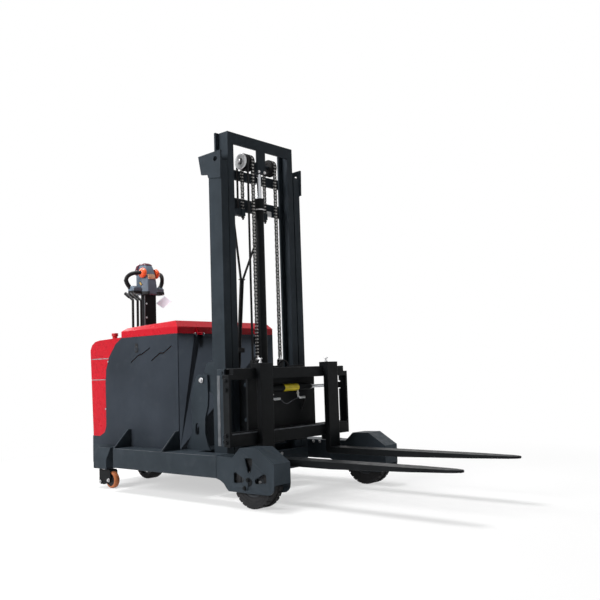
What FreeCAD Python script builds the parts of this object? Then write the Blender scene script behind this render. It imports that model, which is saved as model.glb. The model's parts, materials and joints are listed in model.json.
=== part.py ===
import FreeCAD, Part
import math
import os

# Rough terrain stacker: two straddle legs with lugged wheels, a steered drive wheel under a hollow
# body, a two-stage mast and a side-shifting fork carriage.
# Millimetres. X points forward to the forks, Y to the machine's left, Z up.
# The origin is on the floor below the middle of the overall length and width.

Vector = FreeCAD.Vector

# Stations along the machine
REAR_X = -1310.0
BASE_REAR_X = -1288.0
HOOD_REAR_X = -973.0
BODY_FRONT_X = -431.0
MAST_REAR_X = -207.0
FORK_FACE_X = 160.0
AXLE_X = 256.0
DRIVE_X = -1152.0

# Widths: the body carries the legs outside it and the mast inside its width
BODY_HALF_Y = 400.0
LEG_GAP = 8.0
MAST_INSET = 64.0

# Legs: rectangular tubes with a wheel housing at each front end
LEG_WIDTH = 120.0
BEAM_REAR_X = -890.0
BEAM_FRONT_X = 14.0
BEAM_LOW_Z = 137.0
BEAM_TOP_Z = 250.0
BEAM_WALL = 8.0
HOUSING_PLATE = 8.0
HOUSING_LOW_Z = 79.0
HOUSING_CLEAR = 32.0
HOUSING_WALL_GAP = 24.0
GUSSET_THICK = 10.0
GUSSET_RISE = 106.0

# Front wheels
TYRE_R = 135.0
TYRE_WIDTH = 84.0
LUG_HEIGHT = 7.0
LUG_COUNT = 26
LUG_WIDE = 24.0
LUG_SHOULDER = 28.0
RIM_R = 78.0
AXLE_R = 20.0
RUNNING = 0.1

# Body panels
PANEL = 6.0
PANEL_TOP_Z = 914.0
BAND_TOP_Z = 953.0
HOOD_FRONT_Z = 991.0
HOOD_REAR_Z = 973.0
SHELL_LOW_Z = 304.0
SHELL_SEAT_GAP = 0.3
HINGE_OUT = 9.0
HINGE_PIN_R = 4.0
HINGE_KNUCKLE_R = 8.0
HINGE_Y = (-260.0, 220.0)
HINGE_WIDE = 40.0

# Mast sections
MAST_DEPTH = 104.0
CHANNEL_WEB = 12.0
OUTER_LOW_Z = 100.0
OUTER_TOP_Z = 1885.0
OUTER_FLANGE = 53.0
INNER_INSET = 59.0
INNER_LOW_Z = 135.0
INNER_RISE = 177.0
CROSSBAR_TALL = 67.0
MAST_GAP = 5.0

# Mast pivot and its link plates
PIVOT_X = -280.0
PIVOT_Z = 640.0
PIVOT_PIN_R = 15.0
LINK_PLATE = 12.0
LINK_SLOT_R = 16.0
TIE_INSET = 36.0

# Tilt cylinder between the chassis and the foot of the mast
TILT_Z = 330.0
TILT_EYE_X = -412.0
TILT_ROD_EYE_X = -245.0
TILT_PIN_R = 10.0
TILT_EAR_Y = 24.0
TILT_ROD_R = 15.0

# Lift chains and their pulleys
PULLEY_X = -133.0
PULLEY_DROP = 150.0
PULLEY_R = 45.0
CHAIN_Y = 95.0
CHAIN_THICK = 12.0
CHAIN_WIDE = 24.0
WRAP_STEPS = 12
CARRIAGE_ANCHOR_Z = 745.0
TIE_DROP = 174.0
TIE_TALL = 76.0
ANCHOR_DROP = 71.0
ANCHOR_TALL = 40.0
PISTON_R = 15.0
HOSE_Y = -135.0
HOSE_R = 7.0

# Carriage and side shifter
BAR_TOP_Z = 697.0
BAR_LOW_Z = 298.0
BAR_THICK = 30.0
SHIFT_OUT = 96.0
SHIFT_MIDDLE_Y = -34.0
END_PLATE = 15.0
SLIDE_GAP = 0.3
BAR_HIGH_LOW_Z = 640.0
BAR_LOW_TOP_Z = 364.0
CARRIAGE_BAR_X = 30.0
CARRIAGE_BAR_OUT = 90.0
CARRIAGE_INSET = 53.0
SHIFT_CYL_X = 42.0
SHIFT_CYL_Z = 583.0
SHIFT_ROD_R = 10.0

# Forks
FORK_LENGTH = 1150.0
FORK_THICK = 35.0
FORK_TIP = 12.0
FORK_WIDTH = 94.0
FORK_INSET = 119.0
BLADE_TOP_Z = 230.0
SHANK_TOP_Z = 724.0

# Drive unit and tiller
DRIVE_R = 115.0
DRIVE_WIDTH = 75.0
DRIVE_Y = -52.0
TILLER_PIVOT_Z = 960.0
HEAD_LOW_Z = 1215.0
HEAD_TOP_Z = 1430.0

# Casters
CASTER_X = -1062.0
CASTER_OUT = 50.0
CASTER_BOX_REAR = 73.0
CASTER_BOX_FRONT = 61.0
CASTER_TRAIL = 58.0
CASTER_R = 50.0
CASTER_WIDTH = 36.0

LEG_IN_Y = BODY_HALF_Y + LEG_GAP
LEG_OUT_Y = LEG_IN_Y + LEG_WIDTH
OUTER_HALF_Y = BODY_HALF_Y - MAST_INSET
INNER_WEB_Y = OUTER_HALF_Y - INNER_INSET
TIE_HALF_Y = OUTER_HALF_Y - TIE_INSET
CARRIAGE_HALF_Y = OUTER_HALF_Y - CARRIAGE_INSET
CARRIAGE_BAR_HALF_Y = BODY_HALF_Y + CARRIAGE_BAR_OUT
SHIFT_HALF_Y = BODY_HALF_Y + SHIFT_OUT
FORK_Y = BODY_HALF_Y - FORK_INSET
CASTER_Y = BODY_HALF_Y + CASTER_OUT
INNER_TOP_Z = OUTER_TOP_Z + INNER_RISE
PULLEY_Z = INNER_TOP_Z - PULLEY_DROP
TIE_TOP_Z = OUTER_TOP_Z - TIE_DROP
TIE_ANCHOR_TOP_Z = TIE_TOP_Z - ANCHOR_DROP
TIE_ANCHOR_Z = TIE_ANCHOR_TOP_Z - ANCHOR_TALL
HINGE_X = BODY_FRONT_X + HINGE_OUT
FORK_REAR_X = FORK_FACE_X - FORK_THICK
MAST_FRONT_X = MAST_REAR_X + MAST_DEPTH
TYRE_Y = LEG_OUT_Y - LEG_WIDTH / 2
PLATE_IN_Y = LEG_IN_Y + HOUSING_PLATE
PLATE_OUT_Y = LEG_OUT_Y - HOUSING_PLATE


def box(x0, x1, y0, y1, z0, z1):
    return Part.makeBox(x1 - x0, y1 - y0, z1 - z0, Vector(x0, y0, z0))


def cyl(axis, centre, length, radius):
    # centre is the middle of one end face and length may be negative
    way = Vector(*axis)
    start = Vector(*centre)
    if length < 0:
        way = way * -1
        length = -length
    return Part.makeCylinder(radius, length, start, way)


def cyl_y(x, z, y0, y1, radius):
    return cyl((0, 1, 0), (x, y0, z), y1 - y0, radius)


def cyl_z(x, y, z0, z1, radius):
    return cyl((0, 0, 1), (x, y, z0), z1 - z0, radius)


def cyl_x(y, z, x0, x1, radius):
    return cyl((1, 0, 0), (x0, y, z), x1 - x0, radius)


def face(points):
    return Part.Face(Part.makePolygon([Vector(*p) for p in points + points[:1]]))


def prism_xz(points, y0, y1):
    return face([(x, y0, z) for x, z in points]).extrude(Vector(0, y1 - y0, 0))


def prism_yz(points, x0, x1):
    return face([(x0, y, z) for y, z in points]).extrude(Vector(x1 - x0, 0, 0))


def prism_xy(points, z0, z1):
    return face([(x, y, z0) for x, y in points]).extrude(Vector(0, 0, z1 - z0))


def rounded(points, radius, steps=3):
    # The outline with every corner replaced by a short curve
    out = []
    for i, corner in enumerate(points):
        c = Vector(corner[0], corner[1], 0)
        before = Vector(points[i - 1][0], points[i - 1][1], 0) - c
        after = Vector(points[(i + 1) % len(points)][0], points[(i + 1) % len(points)][1], 0) - c
        start = c + before * (min(radius, before.Length * 0.45) / before.Length)
        end = c + after * (min(radius, after.Length * 0.45) / after.Length)
        for k in range(steps + 1):
            t = k / steps
            spot = start * (1 - t) ** 2 + c * (2 * t * (1 - t)) + end * t ** 2
            out.append((spot.x, spot.y))
    return out


def run_of_tube(points, radius):
    # Straight cylinders along a line of points with a ball at every bend
    pieces = []
    for a, b in zip(points, points[1:]):
        leg = Vector(*b) - Vector(*a)
        pieces.append(Part.makeCylinder(radius, leg.Length, Vector(*a), leg))
    for p in points[1:-1]:
        pieces.append(Part.makeSphere(radius, Vector(*p)))
    return pieces


def join(shapes):
    whole = shapes[0]
    if len(shapes) > 1:
        whole = whole.multiFuse(shapes[1:])
    return whole.removeSplitter()


def cut(shape, tools):
    for tool in tools:
        shape = shape.cut(tool)
    return shape


def mirror(shape):
    return shape.mirror(Vector(0, 0, 0), Vector(0, 1, 0))


def save(name, shape):
    shape.exportStep("parts/" + name + ".step")
    low = shape.BoundBox
    print("%-22s solids %d valid %s  x %.0f..%.0f y %.0f..%.0f z %.0f..%.0f" % (
        name, len(shape.Solids), shape.isValid(),
        low.XMin, low.XMax, low.YMin, low.YMax, low.ZMin, low.ZMax))


def save_pair(name, right):
    save(name + "_right", right)
    save(name + "_left", mirror(right))


def leg_beam():
    tube = box(BEAM_REAR_X, BEAM_FRONT_X, -LEG_OUT_Y, -LEG_IN_Y, BEAM_LOW_Z, BEAM_TOP_Z)
    w = BEAM_WALL
    hollow = box(BEAM_REAR_X + w, BEAM_FRONT_X - w, -LEG_OUT_Y + w, -LEG_IN_Y - w,
                 BEAM_LOW_Z + w, BEAM_TOP_Z - w)
    pieces = [tube.cut(hollow)]
    for x in (BEAM_REAR_X, BODY_FRONT_X - GUSSET_THICK):
        outline = [(-LEG_OUT_Y, BEAM_TOP_Z), (-BODY_HALF_Y, BEAM_TOP_Z),
                   (-BODY_HALF_Y, BEAM_TOP_Z + GUSSET_RISE), (-BODY_HALF_Y - 22, BEAM_TOP_Z + GUSSET_RISE)]
        pieces.append(prism_yz(outline, x, x + GUSSET_THICK))
    return join(pieces)


def housing_profile(inset=0.0):
    # Outer profile of the wheel housing in X and Z, clockwise from the beam's top
    i = inset
    rear = AXLE_X - TYRE_R + 17
    front = AXLE_X + TYRE_R + HOUSING_CLEAR - i
    top = 2 * TYRE_R + HOUSING_CLEAR - i
    return [(BEAM_FRONT_X, BEAM_TOP_Z - i), (rear + i * 0.4, BEAM_TOP_Z - i), (AXLE_X - 64 + i * 0.4, top - 3),
            (AXLE_X + 51 - i * 0.2, top), (front, top - 71 + i * 0.5), (front, 128)]


def wheel_housing():
    profile = housing_profile()
    low = [(419, 106), (409, 92), (394, 82), (376, HOUSING_LOW_Z), (106, HOUSING_LOW_Z), (90, 92),
           (70, 115), (44, 129), (BEAM_FRONT_X, BEAM_LOW_Z)]
    outer = prism_xz(profile + low, -LEG_OUT_Y, -PLATE_OUT_Y)
    inner = prism_xz(profile + low, -PLATE_IN_Y, -LEG_IN_Y)
    for window in (((224, 251), (278, 252), (276, 212), (262, 178), (245, 177)),
                   ((144, 175), (156, 178), (224, 147), (219, 131), (144, 122)),
                   ((290, 148), (358, 182), (371, 174), (373, 137), (296, 128))):
        outer = outer.cut(prism_xz(rounded(window, 9), -LEG_OUT_Y - 1, -PLATE_OUT_Y + 1))
    t = HOUSING_PLATE
    inset = housing_profile(t)
    strip = prism_xz(profile + inset[::-1], -PLATE_OUT_Y, -PLATE_IN_Y)
    wall_x = AXLE_X - TYRE_R - HOUSING_WALL_GAP
    wall = box(wall_x, wall_x + t, -PLATE_OUT_Y, -PLATE_IN_Y, 110, BEAM_TOP_Z - t)
    end = box(BEAM_FRONT_X, BEAM_FRONT_X + t, -PLATE_OUT_Y, -PLATE_IN_Y, BEAM_LOW_Z, BEAM_TOP_Z - t)
    axle = cyl_y(AXLE_X, TYRE_R, -LEG_OUT_Y, -LEG_IN_Y, AXLE_R)
    lock_line = [(260, 160), (228, 159), (208, 96), (240, 90)]
    lock = prism_xz(rounded(lock_line, 10), -LEG_OUT_Y - 5, -LEG_OUT_Y)
    return join([outer, inner, strip, wall, end, axle, lock])


def front_hub():
    y0 = -TYRE_Y - TYRE_WIDTH / 2 + 12
    y1 = -TYRE_Y + TYRE_WIDTH / 2 - 12
    disc = cyl_y(AXLE_X, TYRE_R, y0, y1, RIM_R)
    boss = cyl_y(AXLE_X, TYRE_R, -PLATE_OUT_Y + 1, -PLATE_IN_Y - 1, AXLE_R + 14)
    bore = cyl_y(AXLE_X, TYRE_R, -LEG_OUT_Y, -LEG_IN_Y, AXLE_R + RUNNING)
    return join([disc, boss]).cut(bore)


def front_tyre():
    y0 = -TYRE_Y - TYRE_WIDTH / 2
    y1 = -TYRE_Y + TYRE_WIDTH / 2
    carcass = TYRE_R - LUG_HEIGHT
    # The carcass is a many-sided ring: two flats for each pair of lugs
    step = math.pi / LUG_COUNT
    corner_r = carcass / math.cos(step / 2)
    corners = [(AXLE_X + corner_r * math.sin((k + 0.5) * step),
                TYRE_R + corner_r * math.cos((k + 0.5) * step)) for k in range(2 * LUG_COUNT)]
    ring = prism_xz(corners, y0, y1)
    ring = ring.cut(cyl_y(AXLE_X, TYRE_R, y0 - 1, y1 + 1, RIM_R))
    top = math.sqrt(TYRE_R ** 2 - (LUG_WIDE / 2) ** 2)
    lugs = []
    for i in range(2 * LUG_COUNT):
        low, high = ((y0, y0 + LUG_SHOULDER), (y1 - LUG_SHOULDER, y1))[i % 2]
        lug = box(-LUG_WIDE / 2, LUG_WIDE / 2, low, high, carcass - 3, top)
        lug.rotate(Vector(0, 0, 0), Vector(0, 1, 0), i * 180.0 / LUG_COUNT)
        lug.translate(Vector(AXLE_X, 0, TYRE_R))
        lugs.append(lug)
    return join([ring] + lugs)


def base_frame():
    # Tray between the legs, turntable plate for the drive unit and the box below the mast pivots
    rear = BASE_REAR_X
    wall = 8.0
    floor = box(rear, -262, -LEG_IN_Y + 8, LEG_IN_Y - 8, BEAM_LOW_Z, BEAM_LOW_Z + wall)
    floor = floor.cut(cyl_z(DRIVE_X, DRIVE_Y, BEAM_LOW_Z - 1, BEAM_LOW_Z + wall + 1, DRIVE_R + 20))
    pieces = [floor]
    inside = BODY_HALF_Y - PANEL
    pieces.append(box(rear, rear + wall, -BODY_HALF_Y, BODY_HALF_Y, BEAM_LOW_Z, BEAM_TOP_Z))
    pieces.append(box(rear, rear + wall, -inside, inside, BEAM_TOP_Z, SHELL_LOW_Z))
    for y in (-BODY_HALF_Y, BODY_HALF_Y - wall):
        pieces.append(box(rear, -262, y, y + wall, BEAM_LOW_Z, BEAM_TOP_Z))
        side = -LEG_IN_Y if y < 0 else BODY_HALF_Y
        pieces.append(box(BEAM_REAR_X, -262, side, side + LEG_IN_Y - BODY_HALF_Y, BEAM_LOW_Z, BEAM_TOP_Z))
    pieces.append(box(-270, -262, -LEG_IN_Y, LEG_IN_Y, BEAM_LOW_Z, BEAM_TOP_Z))
    pieces.append(box(-440, -262, -LEG_IN_Y + 8, LEG_IN_Y - 8, BEAM_TOP_Z - 8, BEAM_TOP_Z))
    table = box(rear + wall, DRIVE_X + 150, -BODY_HALF_Y + wall, BODY_HALF_Y - wall, 262, 274)
    table = table.cut(cyl_z(DRIVE_X, DRIVE_Y, 261, 275, 90 + RUNNING))
    pieces.append(table)
    pieces.append(box(DRIVE_X + 142, DRIVE_X + 150, -BODY_HALF_Y + wall, BODY_HALF_Y - wall,
                      BEAM_LOW_Z, 262))
    for y in (-TILT_EAR_Y - 10, TILT_EAR_Y):
        pieces.append(box(BODY_FRONT_X + 1, TILT_EYE_X + 18, y, y + 10, BEAM_TOP_Z, TILT_Z + 18))
    pieces.append(cyl_y(TILT_EYE_X, TILT_Z, -TILT_EAR_Y - 14, TILT_EAR_Y + 14, TILT_PIN_R))
    return join(pieces + link_plates())


def link_plates():
    # Upright plates beside the mast, bottle-shaped, with an oblong hole and the mast's pin
    outline = [(-317, 671), (-236, 669), (-232, 540), (-238, 493), (-259, 429), (-262, 344), (-242, 281),
               (-222, BEAM_TOP_Z), (-429, BEAM_TOP_Z), (-373, 341), (-371, 392), (-378, 501), (-376, 574),
               (-334, 652)]
    y1 = -OUTER_HALF_Y - MAST_GAP
    y0 = y1 - LINK_PLATE
    plate = prism_xz(outline, y0, y1)
    slot_x, slot_low, slot_high = -327, 349, 384
    r = LINK_SLOT_R
    slot = join([cyl_y(slot_x, z, y0 - 1, y1 + 1, r) for z in (slot_low, slot_high)]
                + [box(slot_x - r, slot_x + r, y0 - 1, y1 + 1, slot_low, slot_high)])
    plate = plate.cut(slot)
    pin = cyl_y(PIVOT_X, PIVOT_Z, y0, -OUTER_HALF_Y + 24, PIVOT_PIN_R)
    head = cyl_y(PIVOT_X, PIVOT_Z, y0 - 5, y0, PIVOT_PIN_R + 3)
    right = join([plate, pin, head])
    return [right, mirror(right)]


def side_outline():
    # Side panel in X and Z: its rear edge is the curve against the red shell
    return [(BODY_FRONT_X, BEAM_TOP_Z), (BODY_FRONT_X, PANEL_TOP_Z), (HOOD_REAR_X, PANEL_TOP_Z),
            (-1034, 879), (-1104, 801), (-1138, 720), (-1145, 640), (-1141, 366), (-1158, 328),
            (-1207, SHELL_LOW_Z), (BASE_REAR_X, SHELL_LOW_Z), (BASE_REAR_X, BEAM_TOP_Z)]


def vent(points, half):
    # A slanted slot of constant width along a bent line
    up = [(x, z + half) for x, z in points]
    down = [(x, z - half) for x, z in points]
    return prism_xz(up + down[::-1], -BODY_HALF_Y - 1, -BODY_HALF_Y + PANEL + 1)


def side_panel():
    panel = prism_xz(side_outline(), -BODY_HALF_Y, -BODY_HALF_Y + PANEL)
    for points in (((-875, 759), (-803, 799), (-771, 803), (-688, 840)),
                   ((-675, 762), (-595, 805), (-566, 802), (-487, 843))):
        panel = panel.cut(vent(points, 5))
    lock = cyl_y(-818, 840, -BODY_HALF_Y - 6, -BODY_HALF_Y, 9)
    return join([panel, lock])


def front_panel():
    # Panel behind the mast with the lugs and pins of the hood's hinges
    pieces = [box(BODY_FRONT_X - PANEL, BODY_FRONT_X, -BODY_HALF_Y + PANEL, BODY_HALF_Y - PANEL,
                  BEAM_TOP_Z, PANEL_TOP_Z)]
    for y in HINGE_Y:
        for lug_y in (y - 13, y + HINGE_WIDE + 1):
            pieces.append(box(BODY_FRONT_X, HINGE_X + 6, lug_y, lug_y + 12, PANEL_TOP_Z - 14, PANEL_TOP_Z))
        pieces.append(cyl_y(HINGE_X, PANEL_TOP_Z, y - 13, y + HINGE_WIDE + 13, HINGE_PIN_R))
    return join(pieces)


def shell_outline(inset):
    i = inset
    return [(HOOD_REAR_X, SHELL_LOW_Z), (REAR_X + 29 + i, SHELL_LOW_Z), (REAR_X + i, 850 - i * 0.3),
            (-1292 + i, 882 - i * 0.8), (-1255 + i * 0.5, 903 - i), (-1208, 910 - i),
            (HOOD_REAR_X, PANEL_TOP_Z + 4 - i)]


def rear_shell():
    outer = prism_xz(shell_outline(0), -BODY_HALF_Y, BODY_HALF_Y)
    inner = prism_xz(shell_outline(PANEL - 1), -BODY_HALF_Y + PANEL - 1, BODY_HALF_Y - PANEL + 1)
    shell = outer.cut(inner)
    side = BODY_HALF_Y - 10
    shell = shell.cut(box(HOOD_REAR_X - 1, HOOD_REAR_X + 1, -side, side, SHELL_LOW_Z - 1, PANEL_TOP_Z - 9))
    band = side_outline()[1:10] + [(BODY_FRONT_X, SHELL_LOW_Z)]
    for y0 in (-BODY_HALF_Y - 1, BODY_HALF_Y - PANEL - 1):
        shell = shell.cut(prism_xz(band, y0, y0 + PANEL + 2))
    shell = shell.cut(cyl_z(DRIVE_X, DRIVE_Y, 880, 930, 48))
    for z0 in (655, 788):
        groove = box(REAR_X - 20, -1140, -BODY_HALF_Y - 1, -BODY_HALF_Y + 2, z0, z0 + 6)
        shell = cut(shell, [groove, mirror(groove)])
    return shell


def hood_solid(i):
    # Band below, chamfered top above, drawn in by i for the hollow
    x0 = HOOD_REAR_X + 1 + i
    x1 = BODY_FRONT_X - i
    y = BODY_HALF_Y - i
    band = box(x0, x1, -y, y, PANEL_TOP_Z, BAND_TOP_Z)
    low = Part.makePolygon([Vector(*p) for p in (
        (x0, -y, BAND_TOP_Z), (x1, -y, BAND_TOP_Z), (x1, y, BAND_TOP_Z), (x0, y, BAND_TOP_Z),
        (x0, -y, BAND_TOP_Z))])
    rear, front, side = 38, 40, 20
    high = Part.makePolygon([Vector(*p) for p in (
        (x0 + rear, -y + side, HOOD_REAR_Z - i), (x1 - front, -y + side, HOOD_FRONT_Z - i),
        (x1 - front, y - side, HOOD_FRONT_Z - i), (x0 + rear, y - side, HOOD_REAR_Z - i),
        (x0 + rear, -y + side, HOOD_REAR_Z - i))])
    return join([band, Part.makeLoft([low, high], True, True)])


def hood_lid():
    lid = hood_solid(0).cut(hood_solid(PANEL))
    lid.translate(Vector(0, 0, SHELL_SEAT_GAP))
    pieces = [lid]
    for y in HINGE_Y:
        end = y + HINGE_WIDE
        pieces.append(cyl_y(HINGE_X, PANEL_TOP_Z, y, end, HINGE_KNUCKLE_R))
        pieces.append(box(BODY_FRONT_X, HINGE_X, y, end, PANEL_TOP_Z + SHELL_SEAT_GAP, PANEL_TOP_Z + 24))
    bores = [cyl_y(HINGE_X, PANEL_TOP_Z, y - 1, y + HINGE_WIDE + 1, HINGE_PIN_R + RUNNING) for y in HINGE_Y]
    return cut(join(pieces), bores)


def battery():
    side = BODY_HALF_Y - 70
    return box(BODY_FRONT_X - 449, BODY_FRONT_X - 29, -side, side, BEAM_LOW_Z + 8, 640)


def lever_bank():
    # Console on the shell's top with three bent levers
    pieces = [box(-1040, -978, -315, -188, PANEL_TOP_Z + 4, PANEL_TOP_Z + 34)]
    x = -998
    bend_z = 1160
    slope = Vector(-38, 0, 24)
    grip = Vector(-40, 0, 24)
    for y in (-290, -253, -225):
        pieces.append(cyl_z(x, y, PANEL_TOP_Z + 20, bend_z, 8))
        pieces.append(Part.makeSphere(8, Vector(x, y, bend_z)))
        pieces.append(Part.makeCylinder(8, slope.Length, Vector(x, y, bend_z), slope))
        pieces.append(Part.makeCylinder(11, grip.Length, Vector(x, y, bend_z) + slope, grip))
    return join(pieces)


def stop_button():
    x = -1167
    y = -BODY_HALF_Y + 90
    base = cyl_z(x, y, PANEL_TOP_Z - 2, PANEL_TOP_Z + 22, 16)
    knob = cyl_z(x, y, PANEL_TOP_Z + 22, PANEL_TOP_Z + 42, 21)
    return join([base, knob])


def caster_boxes():
    y = -BODY_HALF_Y
    outline = [(y - 100, 118), (y, 118), (y, 244), (y - 68, 244), (y - 100, 177)]
    right = prism_yz(outline, CASTER_X - CASTER_BOX_REAR, CASTER_X + CASTER_BOX_FRONT)
    bore = cyl_z(CASTER_X, -CASTER_Y, 110, 170, 12 + RUNNING)
    right = right.cut(bore)
    return Part.makeCompound([right, mirror(right)])


def caster_fork():
    x, y = CASTER_X, -CASTER_Y
    axle_x = x + CASTER_TRAIL
    gap = CASTER_WIDTH / 2 + 4
    crown = box(x - 45, x + 62, y - gap - 5, y + gap + 5, 106, 112.5)
    stem = cyl_z(x, y, 106, 165, 12)
    pieces = [crown, stem]
    outline = [(x - 45, 106), (x - 45, 40), (x - 30, 22), (x + 10, 22), (axle_x, CASTER_R - 14),
               (axle_x + 14, CASTER_R), (axle_x + 10, 106)]
    for y0 in (y - gap - 5, y + gap):
        pieces.append(prism_xz(outline, y0, y0 + 5))
    pieces.append(cyl_y(axle_x, CASTER_R, y - gap - 8, y + gap + 8, 7))
    pieces.append(cyl_y(x - 28, 38, y - gap - 9, y + gap + 9, 7))
    return join(pieces)


def caster_wheel():
    x = CASTER_X + CASTER_TRAIL
    half = CASTER_WIDTH / 2
    wheel = cyl_y(x, CASTER_R, -CASTER_Y - half, -CASTER_Y + half, CASTER_R)
    return wheel.cut(cyl_y(x, CASTER_R, -CASTER_Y - half - 1, -CASTER_Y + half + 1, 7 + RUNNING))


def drive_unit():
    # Turntable collar, motor block, gear leg beside the wheel and the post up to the tiller
    x, y = DRIVE_X, DRIVE_Y
    pieces = [cyl_z(x, y, 240, 284, 90)]
    pieces.append(cyl_z(x, y, 274.3, 290, 108))
    pieces.append(cyl_z(x, y, 290, 470, 80))
    pieces.append(box(x - 60, x + 60, y + 45, y + 78, 70, 250))
    pieces.append(cyl_y(x, DRIVE_R, y - 30, y + 60, 18))
    pieces.append(cyl_z(x, y, 470, 930, 22))
    for ear_y in (y - 32, y + 24):
        pieces.append(box(x - 20, x + 20, ear_y, ear_y + 8, 922, TILLER_PIVOT_Z + 18))
    pieces.append(box(x - 30, x + 30, y - 32, y + 32, 920, 930))
    pieces.append(cyl_y(x, TILLER_PIVOT_Z, y - 38, y + 38, 8))
    return join(pieces)


def drive_wheel():
    half = DRIVE_WIDTH / 2
    wheel = cyl_y(DRIVE_X, DRIVE_R, DRIVE_Y - half, DRIVE_Y + half, DRIVE_R)
    return wheel.cut(cyl_y(DRIVE_X, DRIVE_R, DRIVE_Y - half - 1, DRIVE_Y + half + 1, 18 + RUNNING))


def tiller_column():
    # Narrow neck on the pivot and the wide cover above it
    x, y, z = DRIVE_X, DRIVE_Y, TILLER_PIVOT_Z
    neck = box(x - 15, x + 15, y - 22, y + 22, z - 12, z + 40)
    boss = cyl_y(x, z, y - 22, y + 22, 15)
    cover = box(x - 16, x + 28, y - 46, y + 46, z + 36, HEAD_LOW_Z)
    return join([neck, boss, cover]).cut(cyl_y(x, z, y - 23, y + 23, 8 + RUNNING))


def head_body():
    # The outlines from the side, from above and from the front meet in one tapered shape
    x, y = DRIVE_X, DRIVE_Y
    side_view = [(-40, HEAD_LOW_Z), (-52, 1300), (-58, 1385), (-42, 1418), (-8, HEAD_TOP_Z),
                 (14, 1420), (42, 1352), (56, HEAD_LOW_Z)]
    plan = [(56, -36), (16, -60), (-58, -60), (-58, 60), (16, 60), (56, 36)]
    front_view = [(-64, HEAD_LOW_Z), (-60, 1380), (-46, 1418), (-30, HEAD_TOP_Z),
                  (30, HEAD_TOP_Z), (46, 1418), (60, 1380), (64, HEAD_LOW_Z)]
    body = prism_xz([(x + p, z) for p, z in side_view], y - 64, y + 64)
    body = body.common(prism_xy([(x + p, y + q) for p, q in plan], HEAD_LOW_Z, HEAD_TOP_Z))
    return body.common(prism_yz([(y + q, z) for q, z in front_view], x - 60, x + 60))


def tiller_head():
    # Handle body, wings, end cones and the two closed handle loops
    x, y = DRIVE_X, DRIVE_Y
    wing = prism_xz([(x - 50, 1222), (x + 15, 1222), (x + 15, 1262), (x, 1275), (x - 50, 1275)],
                    y - 128, y + 128)
    pieces = [head_body(), wing]
    loop = [(22, 70, 1364), (0, 112, 1362), (-24, 142, 1346), (-38, 152, 1318), (-38, 142, 1290),
            (-36, 118, 1262), (-34, 92, 1240)]
    for side in (-1, 1):
        cone = Part.makeCone(31, 17, 26, Vector(x + 22, y + side * 50, 1364), Vector(0, side, 0))
        pieces.append(cone)
        pieces += run_of_tube([(x + p, y + side * q, z) for p, q, z in loop], 14)
    return join(pieces)


def outer_channel():
    x0, x1 = MAST_REAR_X, MAST_FRONT_X
    y0 = -OUTER_HALF_Y
    web = box(x0, x1, y0, y0 + CHANNEL_WEB, OUTER_LOW_Z, OUTER_TOP_Z)
    rear = box(x0, x0 + 12, y0, y0 + OUTER_FLANGE, OUTER_LOW_Z, OUTER_TOP_Z)
    front = box(x1 - 12, x1, y0, y0 + OUTER_FLANGE, OUTER_LOW_Z, OUTER_TOP_Z)
    # The ear plate at the top, with its hole
    top = OUTER_TOP_Z
    ear = prism_xz([(-281, top + 46), (-93, top + 51), (-96, top - 110), (-198, top - 95), (-205, top - 74),
                    (-258, top - 66)], y0 - 12, y0)
    ear = ear.cut(cyl_y(-137, top + 7, y0 - 13, y0 + 1, 15))
    # The rounded bracket that the pivot pin passes through
    bracket = prism_xz([(x0, 744), (-224, 744), (-256, 732), (-277, 703), (-283, 677), (-306, 664),
                        (-309, 640), (-304, 615), (-285, 600), (x0, 560)], y0, y0 + CHANNEL_WEB)
    hole = cyl_y(PIVOT_X, PIVOT_Z, y0 - 1, y0 + CHANNEL_WEB + 1, PIVOT_PIN_R + RUNNING)
    return join([web, rear, front, ear, bracket]).cut(hole)


def outer_ties():
    x1 = MAST_REAR_X
    x0 = x1 - 14
    y = TIE_HALF_Y
    pieces = [box(x0, x1, -y, y, OUTER_TOP_Z - 64, OUTER_TOP_Z - 5),
              box(x0, x1, -y, y, TIE_TOP_Z - TIE_TALL, TIE_TOP_Z)]
    # Foot of the mast: rear plate, floor under the lift cylinder and front plate
    front_x = MAST_FRONT_X + 12
    floor_y = OUTER_HALF_Y - OUTER_FLANGE
    pieces.append(box(x0, x1, -y, y, OUTER_LOW_Z, 380))
    pieces.append(box(x1, front_x, -floor_y, floor_y, OUTER_LOW_Z, 125))
    pieces.append(box(MAST_FRONT_X, front_x, -OUTER_HALF_Y + 12, OUTER_HALF_Y - 12, OUTER_LOW_Z, 215))
    # Clevis of the tilt rod and the hoses' fitting
    for ear_y in (-TILT_EAR_Y - 10, TILT_EAR_Y):
        pieces.append(box(TILT_ROD_EYE_X - 18, x0, ear_y, ear_y + 10, TILT_Z - 18, TILT_Z + 18))
    pieces.append(cyl_y(TILT_ROD_EYE_X, TILT_Z, -TILT_EAR_Y - 14, TILT_EAR_Y + 14, TILT_PIN_R))
    pieces.append(box(x0 - 20, x0, -164, -122, 335, 379))
    # Anchor brackets of the rear chain falls and the hose
    for anchor_y in (-CHAIN_Y, CHAIN_Y, HOSE_Y):
        pieces.append(box(x1, PULLEY_X - PULLEY_R + 8, anchor_y - 14, anchor_y + 14,
                          TIE_ANCHOR_Z, TIE_ANCHOR_TOP_Z))
    return Part.makeCompound([join(pieces[:1]), join(pieces[1:2] + pieces[-3:]), join(pieces[2:-3])])


def lift_cylinder():
    head_top = TIE_TOP_Z - 3
    barrel = cyl_z(PULLEY_X, 0, 125, TIE_ANCHOR_TOP_Z, 25)
    head = cyl_z(PULLEY_X, 0, TIE_ANCHOR_TOP_Z, head_top, 30)
    bore = cyl_z(PULLEY_X, 0, 140, head_top + 1, PISTON_R + RUNNING)
    return join([barrel, head]).cut(bore)


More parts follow.
